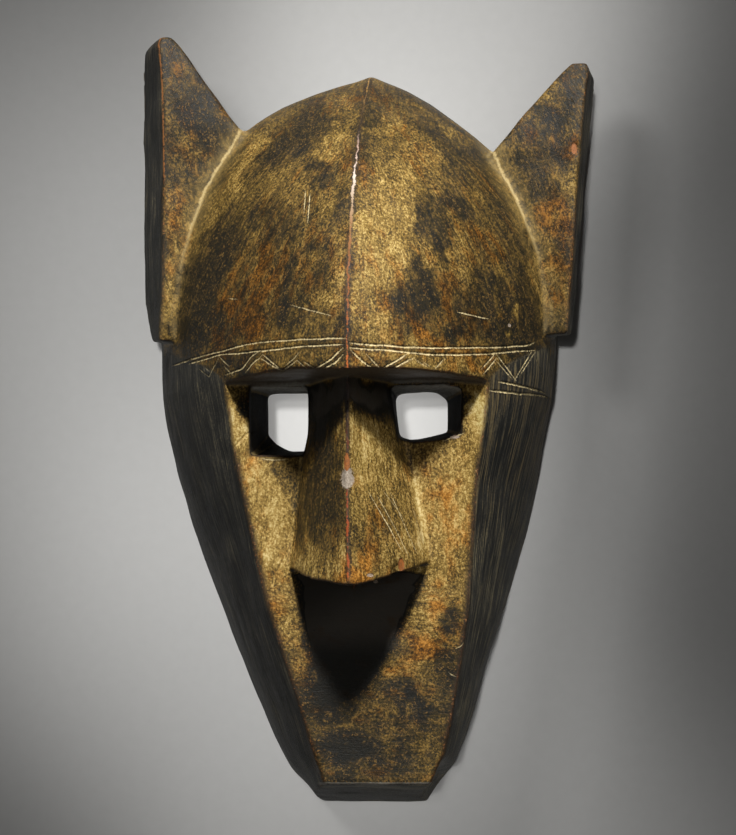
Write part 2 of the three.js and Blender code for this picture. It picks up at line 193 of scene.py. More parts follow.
def bend(start, start_slope, end, end_slope, steps):
    """A curve between two points of a cut, which leaves and arrives at given slopes as it goes inwards."""
    start, end = np.array(start, float), np.array(end, float)
    inwards = np.sign(end[0] - start[0])
    reach = np.linalg.norm(end - start) * BEND_REACH

    def heading(slope):
        return np.array([math.cos(math.radians(slope)) * inwards, math.sin(math.radians(slope))])

    leaving = start + heading(start_slope) * reach
    arriving = end - heading(end_slope) * reach
    t = np.linspace(0, 1, steps + 1)[:, None]
    h = 1 - t
    return h**3 * start + 3 * h * h * t * leaving + 3 * h * t * t * arriving + t**3 * end


def face_cut(y):
    at = lambda field: along(FACE_ROWS, "y", field, y)
    temple = float(smoothstep(y, TEMPLE_START_Y, BROW_Y))
    edge_z = at("edgeZ")

    def wall(rim_x, edge_x):
        chord = math.degrees(math.atan2(edge_z, abs(rim_x - edge_x)))
        rim_slope = lerp(chord + CHEEK_FULLNESS_AT_RIM, WALL_SLOPE_AT_RIM, temple)
        edge_slope = lerp(chord - CHEEK_FULLNESS_AT_EDGE, SHOULDER_SLOPE[0], temple)
        return bend((rim_x, 0), rim_slope, (edge_x, edge_z), edge_slope, WALL_STEPS)

    across = -np.cos(np.pi * np.arange(2 * FRONT_STEPS + 1) / (2 * FRONT_STEPS))
    front = np.stack([
        lerp(at("edgeL"), at("edgeR"), (1 + across) / 2),
        edge_z - at("dish") * (1 - np.abs(across) ** FACE_DISH_SQUARENESS),
    ], 1)
    left, right = wall(at("rimL"), at("edgeL")), wall(at("rimR"), at("edgeR"))
    return np.concatenate([left[:-1], front, right[:-1][::-1]])


def dome_cut(turn):
    at = lambda field: along(DOME_ROWS, "turn", field, turn)
    keel = (at("keelX"), at("keel"))
    keel_slope = lerp(*KEEL_SLOPE, turn / 90)
    slope = lerp(*SHOULDER_SLOPE, turn / 90)

    def half(rim, key):
        shoulder = (at(key + "X"), at(key))
        wall = bend((FACE_ROWS[rim][-1], 0), WALL_SLOPE_AT_RIM, shoulder, slope, WALL_STEPS)
        return np.concatenate([wall[:-1], bend(shoulder, slope, keel, keel_slope, FRONT_STEPS)])

    return np.concatenate([half("rimL", "left"), half("rimR", "right")[:-1][::-1]])


def brow_rise(x):
    """How far the brow's edge is arched up, over each eye."""
    left, keel, right = (DOME_ROWS[k][0] for k in ("leftX", "keelX", "rightX"))
    t = np.where(x < keel, (x - left) / (keel - left), (right - x) / (right - keel))
    return np.where(t > 0, BROW_ARCH * 4 * t * (1 - t), 0)


def standing(cut, y, arched):
    lean = CHIN_LEAN * min(max(1 - y / CHIN_LEAN_END_Y, 0), 1)
    rise = brow_rise(cut[:, 0]) if arched else 0
    return np.stack([cut[:, 0], y + lean * cut[:, 1] + rise, cut[:, 1]], 1)


def turned(cut, turn, base_z=0.0):
    up, out = math.sin(math.radians(turn)), math.cos(math.radians(turn))
    return np.stack([cut[:, 0], BROW_Y + up * cut[:, 1], base_z + out * cut[:, 1]], 1)


def skin(rings):
    """Points and triangles of a closed skin over a row of rings, with a fan of triangles on both ends."""
    count = len(rings[0])
    points = np.concatenate(rings)
    faces = []
    k = np.arange(count)
    n = (k + 1) % count
    for r in range(len(rings) - 1):
        a, b = r * count + k, r * count + n
        faces += [np.stack([a, b, b + count], 1), np.stack([a, b + count, a + count], 1)]
    for start, middle, flip in ((0, len(points), True), (len(points) - count, len(points) + 1, False)):
        a, b, m = start + k, start + n, np.full(count, middle)
        faces.append(np.stack([b, a, m] if flip else [a, b, m], 1))
    points = np.concatenate([points, rings[0].mean(0)[None], rings[-1].mean(0)[None]])
    return points, np.concatenate(faces)


def make_block():
    rings = []
    for y in np.linspace(FACE_ROWS["y"][0], BROW_Y, LOWER_RINGS + 1):
        rings.append(standing(face_cut(y), y, y > BROW_Y - 1e-6))
    rings.append(standing(dome_cut(0), BROW_Y, True))
    for turn in np.linspace(0, 90, FAN_RINGS + 1)[1:]:
        rings.append(turned(dome_cut(turn), turn))
    return skin(rings)


def cavity_face_cut(y):
    at = lambda field: along(CAVITY_ROWS, "y", field, y)
    left = along(FACE_ROWS, "y", "rimL", y) + at("wallL")
    right = along(FACE_ROWS, "y", "rimR", y) - at("wallR")
    power = 2 / CAVITY_SQUARENESS
    angle = np.pi * (1 - np.arange(4 * CAVITY_HALF_STEPS + 1) / (4 * CAVITY_HALF_STEPS))
    across = np.sign(np.cos(angle)) * np.abs(np.cos(angle)) ** power
    depth = (at("depth") + CUT_BELOW_RIM) * np.clip(np.sin(angle), 0, 1) ** power
    return np.stack([lerp(left, right, (1 + across) / 2), depth], 1)


def cavity_dome_cut(turn):
    at = lambda field: along(DOME_ROWS, "turn", field, turn)
    depth = along(CAVITY_DOME_ROWS, "turn", "depth", turn)
    shrink = depth / (at("keel") - RIM_WALL)
    crown = (at("keelX"), depth)
    outer = math.radians(lerp(*SHOULDER_SLOPE, turn / 90))
    slope = math.degrees(math.atan(shrink * math.tan(outer)))

    def half(rim, key, inwards):
        start = (FACE_ROWS[rim][-1] + inwards * RIM_WALL, 0)
        shoulder = (at(key + "X") + inwards * RIM_WALL * math.sin(outer),
                    shrink * (at(key) - RIM_WALL * math.cos(outer)))
        wall = bend(start, WALL_SLOPE_AT_RIM, shoulder, slope, CAVITY_HALF_STEPS)
        return np.concatenate([wall[:-1], bend(shoulder, slope, crown, 0, CAVITY_HALF_STEPS)])

    return np.concatenate([half("rimL", "left", 1), half("rimR", "right", -1)[:-1][::-1]])


def make_cavity():
    rings = []
    for i in range(CAVITY_LOWER_RINGS + 1):
        y = lerp(CAVITY_ROWS["y"][0], BROW_Y, (i / CAVITY_LOWER_RINGS) ** CAVITY_CHIN_CROWDING)
        cut = cavity_face_cut(y)
        rings.append(np.stack([cut[:, 0], np.full(len(cut), y), cut[:, 1] - CUT_BELOW_RIM], 1))
    for turn in np.linspace(0, 90, CAVITY_FAN_RINGS + 1)[1:]:
        rings.append(turned(cavity_dome_cut(turn), turn, -CUT_BELOW_RIM))
    return skin(rings)


def make_nose():
    tip_y, root_y = NOSE_ROWS["y"][0], NOSE_ROWS["y"][-1]

    def flank(start, end, bulge):
        start, end = np.array(start), np.array(end)
        outwards = np.array([start[1] - end[1], end[0] - start[0]])
        outwards = outwards / np.linalg.norm(outwards)
        t = np.arange(NOSE_FLANK_STEPS)[:, None] / NOSE_FLANK_STEPS
        return lerp(start, end, t) + outwards * bulge * 4 * t * (1 - t)

    rings = []
    for t in np.linspace(0, 1, NOSE_RINGS + 1):
        y = lerp(tip_y, root_y, t)
        at = lambda field: along(NOSE_ROWS, "y", field, y)
        keel = (at("keelX"), at("keelZ"))
        left, right = (at("baseL"), at("baseZ")), (at("baseR"), at("baseZ"))
        cut = np.concatenate([flank(left, keel, at("bulge")), flank(keel, right, at("bulge")), [right]])
        undercut = (NOSE_UNDERCUT * (NOSE_ROWS["keelZ"][0] - cut[:, 1])
                    + NOSE_TIP_TILT * (cut[:, 0] - NOSE_ROWS["keelX"][0]))
        rings.append(np.stack([cut[:, 0], y + undercut * (1 - t), cut[:, 1]], 1))
    return skin(rings)


def make_eye(back, front):
    levels = zip((back, back, front, front), EYE_LEVELS)
    return skin([np.column_stack([outline, np.full(len(outline), z)]) for outline, z in levels])


def make_ear(rows):
    rings = []
    for row, following in zip(rows, rows[1:] + rows[-1:]):
        steps = max(1, math.ceil((following[0] - row[0]) / EAR_RING_GAP))
        for k in range(steps):
            y, *xz = (lerp(a, b, k / steps) for a, b in zip(row, following))
            across, out = np.array(xz).reshape(4, 2).T
            slant = 0 if rings else EAR_FOOT_SLANT
            rings.append(np.stack([across, y + slant * (out[0] - out), out], 1))
    return skin(rings)


# The forms are joined as fields of signed distance on one common grid.
VOXEL = 1.0
BAND = 9.0
FIELD_LOW = np.array([-136.5, -9.5, -8.5])
FIELD_HIGH = np.array([134.5, 431.5, 171.5])
FIELD_SHAPE = tuple(np.ceil((FIELD_HIGH - FIELD_LOW) / VOXEL).astype(int))
GRID_AXES = [low + VOXEL * np.arange(count) for low, count in zip(FIELD_LOW, FIELD_SHAPE)]


def field_of(shape):
    """The signed distance to a closed skin, inside negative, on the common grid."""
    points, faces = shape
    local = ((points - FIELD_LOW) / VOXEL).astype(np.float32)
    grid = vdb.FloatGrid.createLevelSetFromPolygons(
        local, triangles=faces.astype(np.uint32), transform=vdb.createLinearTransform(1.0),
        halfWidth=BAND / VOXEL)
    out = np.empty(FIELD_SHAPE, np.float32)
    grid.copyToArray(out)
    return out * VOXEL


def soft_union(a, b, k):
    h = np.clip(0.5 + 0.5 * (b - a) / k, 0, 1)
    return b + (a - b) * h - k * h * (1 - h)


def soft_cut(a, b, k):
    return -soft_union(-a, b, k)


def blurred(field, sigma):
    reach = int(math.ceil(2.5 * sigma))
    taps = np.exp(-0.5 * (np.arange(-reach, reach + 1) / sigma) ** 2)
    taps = (taps / taps.sum()).astype(np.float32)
    for axis in range(3):
        out = np.zeros_like(field)
        n = field.shape[axis]
        for offset, tap in zip(range(-reach, reach + 1), taps):
            src = [slice(None)] * 3
            dst = [slice(None)] * 3
            src[axis] = slice(max(0, offset), n + min(0, offset))
            dst[axis] = slice(max(0, -offset), n + min(0, -offset))
            out[tuple(dst)] += tap * field[tuple(src)]
        field = out
    return field


def cell_corners(f):
    """The eight corners of a grid cell, each with its share in a point that lies at f within the cell."""
    for corner in np.ndindex(2, 2, 2):
        sides = [f[:, k] if far else 1 - f[:, k] for k, far in enumerate(corner)]
        yield corner, sides[0] * sides[1] * sides[2]


def read_field(field, points):
    p = np.clip((points - FIELD_LOW) / VOXEL, 0, np.array(FIELD_SHAPE) - 1.001)
    i = p.astype(int)
    total = 0
    for corner, share in cell_corners((p - i).astype(np.float32)):
        total = total + share * field[tuple((i + corner).T)]
    return total


NOISE_LATTICE = 24


def noise_at(points, size, seed):
    """Smooth random values of about -1 to 1 that change over size millimetres (a number or three)."""
    rng = np.random.default_rng(seed)
    lattice = rng.uniform(-1, 1, (NOISE_LATTICE,) * 3).astype(np.float32)
    p = points / np.array(size, float)
    i = np.floor(p).astype(int)
    f = p - i
    total = 0
    for corner, share in cell_corners(f * f * (3 - 2 * f)):
        total = total + share * lattice[tuple((i + corner).T % NOISE_LATTICE)]
    return total * 1.5


# Chips and nicks: middle x, y, z and radius of a ball that bites the arris, and its stretch along y.
CHIPS = [
    (-6.8, 169.5, 149.4, 7.0, 1.3),
    (20.5, 120.5, 121.5, 4.6, 1.0),
    (115.5, 355.6, 69.4, 4.6, 1.8),
    (50.8, 80.5, 93.8, 4.4, 1.0),
    (46.5, 65.5, 92.8, 4.4, 1.0),
    (61.5, 158.0, 100.0, 4.4, 2.0),
    (-72.0, 173.0, 102.0, 4.2, 2.4),
    (-57.5, 104.0, 95.0, 4.0, 2.0),
    (-30.0, 24.0, 90.0, 4.4, 1.6),
    (116.5, 309.0, 69.5, 4.5, 2.6),
    (-113.0, 300.0, 70.0, 4.6, 2.4),
    (-114.0, 392.0, 69.5, 4.6, 2.0),
]


def bite(body, x, y, z, radius, stretch):
    """Cut one stretched ball out of the body."""
    reach = radius + 2
    low = np.floor((np.array([x, y, z]) - reach - FIELD_LOW) / VOXEL).astype(int)
    high = low + int(2 * reach / VOXEL) + 2
    window = tuple(slice(max(a, 0), b) for a, b in zip(low, high))
    gx, gy, gz = np.meshgrid(*(axis[part] for axis, part in zip(GRID_AXES, window)), indexing="ij")
    ball = np.sqrt((gx - x) ** 2 + ((gy - y) / stretch) ** 2 + (gz - z) ** 2) - radius
    body[window] = np.maximum(body[window], -ball.astype(np.float32))


NOSE_BLEND, EAR_BLEND, CAVITY_EDGE = 2.0, 2.5, 1.5
WEAR_REACH = 1.5
WEAR_PATCH = 18.0


def carve_field():
    """The mask as one field: the forms joined, hollowed, pierced and chipped, with two of its cutters."""
    block = field_of(make_block())
    ears = np.minimum(field_of(make_ear(LEFT_EAR)), field_of(make_ear(RIGHT_EAR)))
    body = soft_union(soft_union(block, field_of(make_nose()), NOSE_BLEND), ears, EAR_BLEND)
    cavity = field_of(make_cavity())
    body = soft_cut(body, cavity, CAVITY_EDGE)
    eyes = np.minimum(*(field_of(make_eye(*eye)) for eye in EYES))
    body = np.maximum(body, -eyes)
    for chip in CHIPS:
        bite(body, *chip)
    return body, cavity, eyes


def wear_amount():
    """How far the arrises are worn at each point of the grid, which changes from patch to patch."""
    patch = np.random.default_rng(5).uniform(0, 1, (16, 26, 11)).astype(np.float32)
    for k, axis in enumerate(GRID_AXES):
        at = (axis - FIELD_LOW[k]) / WEAR_PATCH
        i = np.clip(at.astype(int), 0, patch.shape[k] - 2)
        f = (at - i).astype(np.float32).reshape(np.roll((-1, 1, 1), k))
        patch = np.take(patch, i, axis=k) * (1 - f) + np.take(patch, i + 1, axis=k) * f
    return (0.35 + 0.75 * smoothstep(patch, 0.3, 0.75)).astype(np.float32)


def normals_at(points, quads):
    a, b, c, d = (points[quads[:, k]] for k in range(4))
    n = np.cross(c - a, d - b)
    total = np.zeros((len(points), 3))
    for k in range(4):
        for axis in range(3):
            total[:, axis] += np.bincount(quads[:, k], n[:, axis], len(points))
    return total / np.maximum(np.linalg.norm(total, axis=1), 1e-9)[:, None]


def scoops(points, size, seed):
    """Shallow overlapping gouge cuts: 0 at the middle of each cut, 1 at the ridge between two."""
    jitter = np.random.default_rng(seed).uniform(0.1, 0.9, (16, 16, 16, 3))
    p = points / np.array(size, float)
    cell = np.floor(p).astype(int)
    best = np.full(len(p), 9.0)
    for step in np.ndindex(3, 3, 3):
        c = cell + step - 1
        best = np.minimum(best, ((c + jitter[tuple(c.T % 16)] - p) ** 2).sum(1))
    return np.clip(best, 0, 1)


def carved_surface():
    """Points and four-cornered faces of the worn and hand-cut surface, and the fields it was made with."""
    body, cavity, eyes = carve_field()
    worn = blurred(body, WEAR_REACH / VOXEL)
    shaped = body + (worn - body) * wear_amount()
    shaped = np.maximum(shaped, -GRID_AXES[2][None, None, :].astype(np.float32))
    grid = vdb.FloatGrid(BAND)
    grid.copyFromArray(shaped.astype(np.float32))
    points, _, quads = grid.convertToPolygons(isovalue=0.0, adaptivity=0.0)
    points = points.astype(float) * VOXEL + FIELD_LOW
    quads = quads.astype(np.int64)
    normals = normals_at(points, quads)
    if np.einsum("ij,ij->i", points - points.mean(0), normals).mean() < 0:
        quads = quads[:, ::-1]
        normals = -normals

    hollow = smoothstep(-np.abs(read_field(cavity, points)), -3.0, -1.0) * (points[:, 2] > 1.0)
    flat = smoothstep(points[:, 2], 0.0, 3.0)
    sway = 0.55 * noise_at(points, 34, 1) + 0.28 * noise_at(points, 13, 2)
    strokes = 0.22 * noise_at(points, (7, 46, 7), 3)
    gouged = 1.5 * scoops(points, (17, 44, 17), 4)
    depth = lerp(0.45 - sway - strokes, gouged - 0.3 * sway, hollow) * flat
    points = points - normals * np.clip(depth, 0.0, None)[:, None]
    return points, quads, (body, worn, cavity, eyes)


def add_thing(name, data):
    thing = bpy.data.objects.new(name, data)
    bpy.context.scene.collection.objects.link(thing)
    return thing


def to_mesh(name, points, faces):
    mesh = bpy.data.meshes.new(name)
    mesh.from_pydata(points.tolist(), [], faces.tolist())
    mesh.validate()
    mesh.update()
    return mesh


def mesh_arrays(mesh):
    """Places and normals of a mesh's points."""
    co, no = np.empty((2, len(mesh.vertices) * 3), np.float32)
    mesh.vertices.foreach_get("co", co)
    mesh.vertices.foreach_get("normal", no)
    return co.reshape(-1, 3).astype(float), no.reshape(-1, 3).astype(float)


TRIANGLE_TARGET = 92000


def decimated(mesh):
    thing = add_thing("carving", mesh)
    triangles = sum(len(p.vertices) - 2 for p in mesh.polygons)
    step = thing.modifiers.new("thin", "DECIMATE")
    step.ratio = min(1.0, TRIANGLE_TARGET / triangles)
    step.use_collapse_triangulate = True
    bpy.context.view_layer.update()
    result = bpy.data.meshes.new_from_object(thing.evaluated_get(bpy.context.evaluated_depsgraph_get()))
    bpy.data.objects.remove(thing)
    return result


# Incised lines, in x and y of the drawing frame.
# Each line is its width and depth as shares of the full ones, how white it is, and its points.
INCISED = [
    (0.75, 0.7, 0.75, -108.7, 238.2, -93.8, 238.8, -75.4, 239.6, -61.3, 240.9, -40.9, 240.1, -23, 239.3,
     -5.9, 238.2),
    (1.0, 1.0, 1.0, -4.1, 236.1, 7.9, 235.5, 24.4, 235.5, 37.9, 236.3, 53, 238, 74.5, 242, 88.6, 245.8,
     91.8, 248.2),
    (0.85, 0.8, 0.85, -97.6, 236.4, -77.2, 237.8, -61.2, 236.4, -40.9, 235.9, -23, 235.6, -7.1, 235.3),
    (1.0, 1.0, 1.0, -4.1, 233.6, 6.4, 233.1, 18.3, 233.1, 28.8, 232.8, 37.9, 232.9, 51.5, 234, 66.7, 237.2,
     79.2, 240.2, 91.7, 243.8),
    (0.6, 0.5, 0.35, -90.9, 232.7, -84.5, 226.9, -78.1, 236.8),
    (0.5, 0.4, 0.3, -88, 233.5, -83.1, 228.9),
    (0.8, 0.7, 0.7, -78.2, 236.9, -72.1, 230.8),
    (0.8, 0.7, 0.7, -75.1, 231, -69.7, 225.4),
    (0.85, 0.8, 0.75, -74.4, 226.4, -64.4, 228.1, -58.5, 234.1, -54.3, 235.9),
    (0.85, 0.8, 0.75, -62.4, 225.7, -59.1, 229.1, -54, 232.5, -52.3, 234.1),
    (0.9, 0.8, 0.8, -52.3, 234.1, -41.3, 224.1),
    (0.8, 0.7, 0.7, -53.3, 231.9, -46.3, 227.2, -41.9, 224.6),
    (0.9, 0.9, 0.85, -41.3, 223.8, -33.2, 228.7),
    (0.8, 0.7, 0.6, -39.1, 226.9, -34.4, 230.3, -31.6, 233.1),
    (0.8, 0.8, 0.7, -32.6, 228.6, -27.5, 223.8),
    (0.8, 0.8, 0.7, -28.9, 227.7, -22.9, 223.5),
    (1.0, 1.0, 1.0, -22.6, 223.5, -14.4, 227.8, -7.9, 233.4),
    (1.0, 1.0, 0.9, -18.1, 223.1, -12, 225.8, -7.8, 230.2),
    (1.0, 1.0, 0.9, -3.6, 232.2, 1.9, 226.9, 8, 222.9),
    (0.9, 0.8, 0.7, 4.1, 230.5, 11.2, 223.5),
    (1.0, 0.9, 1.0, 12.5, 223.5, 21, 228.8, 25, 232),
    (1.0, 0.9, 0.95, 17.6, 223.5, 22.8, 227.1, 28.4, 230.2),
    (0.6, 0.6, 0.45, 28.4, 229.6, 35.2, 225.8),
    (0.6, 0.6, 0.4, 32.4, 229.1, 38.1, 225.5),
    (0.7, 0.6, 0.55, 38.6, 224.7, 44.9, 232.1),
    (0.9, 0.8, 0.9, 63.9, 225.1, 71.2, 235.4),
    (0.9, 0.8, 0.9, 63.3, 228.2, 70.9, 238.4),
    (0.9, 0.8, 0.95, 71.3, 237.6, 81.4, 225.2),
    (0.8, 0.7, 0.8, 71.2, 233.8, 79.4, 225.6),
    (0.9, 0.8, 0.95, 80.6, 225, 90.2, 242.9),
    (0.8, 0.7, 0.85, 82.9, 227.1, 91.7, 242.5),
    (0.5, 0.5, 0.1, 90.9, 242.3, 96.4, 228.2),
    (1.15, 0.8, 1.0, 72, 222.8, 97.6, 222.4),
    (1.15, 0.8, 1.0, 67.4, 217.4, 82.3, 218.2, 99.6, 220.8),
    (0.5, 0.3, 0.8, -30.5, 324.4, -30.8, 311.1),
    (0.5, 0.3, 0.8, -27.9, 322.2, -28.5, 304.3),
    (0.5, 0.3, 0.55, -36.3, 258.8, -13.8, 250.7),
    (0.5, 0.3, 0.6, -73.2, 268.3, -67.1, 266.7),
    (0.7, 0.4, 0.9, 50, 257.2, 66.9, 256.3),
    (0.6, 0.4, 0.75, 4.2, 160.3, 13.5, 144.6, 21.2, 130.6),
    (0.5, 0.3, 0.6, 8.2, 159.7, 17, 143.8, 24.4, 127.9),
    (0.35, 0.2, 0.5, 11.1, 162.8, 22.2, 147.8),
    (0.5, 0.3, 0.7, 14.6, 162.1, 28.3, 130.6),
    (0.35, 0.2, 0.5, 25.6, 156.6, 31.7, 135.5),
    (0.9, 1.0, 0.0, -69.6, 188.2, -64.6, 194.2, -60, 197.8),
    (0.6, 0.3, 1.0, -56.5, 182.5, -49, 181.7, -41.5, 182.2),
    (0.6, 0.4, 0.8, 42, 191.4, 48.6, 193.9, 53.4, 195.4),
    (0.35, 0.2, 0.5, 54.6, 208.7, 59.4, 211.6),
    (0.35, 0.2, 0.5, 53.2, 204.4, 58.4, 206.8),
    (0.5, 0.4, 0.9, 48.4, 80.3, 51, 81.4, 52.6, 83.4),
    (0.5, 0.4, 0.8, 44.6, 67.8, 46.4, 66.2, 48.4, 65.4),
]
LINE_HALF_WIDTH = 0.85
LINE_DEPTH = 0.6
LINE_REACH = 2.6
LINE_STEP = 0.4
LINE_WANDER = 0.11
LINE_TAPER = 3.5
OFF_LINE = -2.5
FRONT_Z = 400
REFINE_MARGIN = 6
FINE_EDGE = 0.64
FINE_REACH = 1.2
REFINE_ROUNDS = 4


def surface_tree(mesh):
    points, _ = mesh_arrays(mesh)
    return BVHTree.FromPolygons([Vector(p) for p in points], [tuple(p.vertices) for p in mesh.polygons])


def seen_from_front(tree, x, y):
    """The point of the surface that is seen at x and y from the front, or None."""
    return tree.ray_cast(Vector((x, y, FRONT_Z)), Vector((0, 0, -1)))[0]


def point_tree(points):
    tree = kdtree.KDTree(len(points))
    for k, point in enumerate(points):
        tree.insert(point, k)
    tree.balance()
    return tree


def line_samples(tree):
    """Points along the incised lines, laid on the surface, with width, depth and whiteness at each."""
    samples, values = [], []
    rng = np.random.default_rng(11)
    for width, depth, white, *path in INCISED:
        path = np.array(path).reshape(-1, 2)
        steps = np.linalg.norm(np.diff(path, axis=0), axis=1)
        at = np.concatenate([[0], np.cumsum(steps)])
        count = max(3, int(at[-1] / LINE_STEP))
        s = np.linspace(0, at[-1], count)
        wander = np.convolve(rng.normal(0, 1, count + 24), np.ones(25) / 5, "valid") * LINE_WANDER
        xs, ys = np.interp(s, at, path[:, 0]), np.interp(s, at, path[:, 1]) + wander
        taper = 0.35 + 0.65 * smoothstep(np.minimum(s, at[-1] - s), 0, LINE_TAPER)
        press = 0.75 + 0.5 * np.convolve(rng.uniform(0, 1, count + 16), np.ones(17) / 17, "valid")
        for x, y, t, p in zip(xs, ys, taper, press):
            hit = seen_from_front(tree, x, y)
            if hit is not None:
                samples.append(tuple(hit))
                values.append((width * t, depth * t * p, white * min(1.0, t * p)))
    return np.array(samples), np.array(values)


def spot_samples(tree):
    """Points over the bare spots, laid on the surface."""
    found = []
    for cx, cy, rx, ry, _, _ in BARE_SPOTS:
        for x in np.arange(cx - rx, cx + rx + 0.1, SPOT_STEP):
            hits = [seen_from_front(tree, x, y) for y in np.arange(cy - ry, cy + ry + 0.1, SPOT_STEP)]
            found += [tuple(hit) for hit in hits if hit is not None]
    return np.array(found)


def near_lines(points, samples, values):
    """Each point's groove depth, its nearness to a line (1 on it, 0 at its side) and the line's white."""
    tree = point_tree(samples)
    out = np.zeros((len(points), 3))
    out[:, 1] = OFF_LINE
    low, high = samples.min(0) - LINE_REACH, samples.max(0) + LINE_REACH
    for k in np.nonzero(((points > low) & (points < high)).all(1))[0]:
        _, hit, distance = tree.find(points[k])
        if distance < LINE_REACH:
            width, depth, white = values[hit]
            r = distance / (LINE_HALF_WIDTH * (0.55 + 0.45 * width))
            out[k] = (max(0.0, 1 - r * r) ** 1.5 * depth, max(1 - r, OFF_LINE), white)
    return out


def split_triangles(points, triangles, chosen):
    """Halve the edges that chosen picks and divide the triangles beside them, with no gap between."""
    ends = np.sort(triangles[:, [0, 1, 1, 2, 2, 0]].reshape(-1, 2), axis=1)
    edges, place = np.unique(ends, axis=0, return_inverse=True)
    cut = chosen(points, edges)
    middle = np.full(len(edges), -1)
    middle[cut] = len(points) + np.arange(cut.sum())
    points = np.concatenate([points, points[edges[cut]].mean(1)])
    halves = middle[place.reshape(-1, 3)]
    count = (halves >= 0).sum(1)
    made = [triangles[count == 0]]
    for cuts in (1, 2, 3):
        corners, mids = triangles[count == cuts], halves[count == cuts]
        # turned so that a triangle's cut edges come first
        first = (mids >= 0) & ((np.roll(mids, -1, 1) >= 0) | (cuts == 1))
        turn = (np.argmax(first, axis=1)[:, None] + np.arange(3)) % 3
        a, b, c = np.take_along_axis(corners, turn, 1).T
        ab, bc, ca = np.take_along_axis(mids, turn, 1).T
        parts = {
            1: ((a, ab, c), (ab, b, c)),
            2: ((ab, b, bc), (a, ab, bc), (a, bc, c)),
            3: ((a, ab, ca), (ab, b, bc), (ca, bc, c), (ab, bc, ca)),
        }
        made += [np.stack(part, 1) for part in parts[cuts]]
    return points, np.concatenate(made)


def refine_near(mesh, samples):
    """Divide the triangles near the samples until a fine groove can be pressed into them."""
    tree = point_tree(samples)
    low, high = samples.min(0) - REFINE_MARGIN, samples.max(0) + REFINE_MARGIN

    def chosen(points, edges):
        length = np.linalg.norm(points[edges[:, 0]] - points[edges[:, 1]], axis=1)
        middle = points[edges].mean(1)
        likely = (length > FINE_EDGE) & (middle > low).all(1) & (middle < high).all(1)
        for k in np.flatnonzero(likely):
            likely[k] = tree.find(middle[k])[2] < FINE_REACH + length[k] * 0.5
        return likely

    points, _ = mesh_arrays(mesh)
    triangles = np.empty(len(mesh.polygons) * 3, np.int32)
    mesh.polygons.foreach_get("vertices", triangles)
    triangles = triangles.reshape(-1, 3)
    for _ in range(REFINE_ROUNDS):
        points, triangles = split_triangles(points, triangles, chosen)
    return to_mesh("carved_mask", points, triangles)


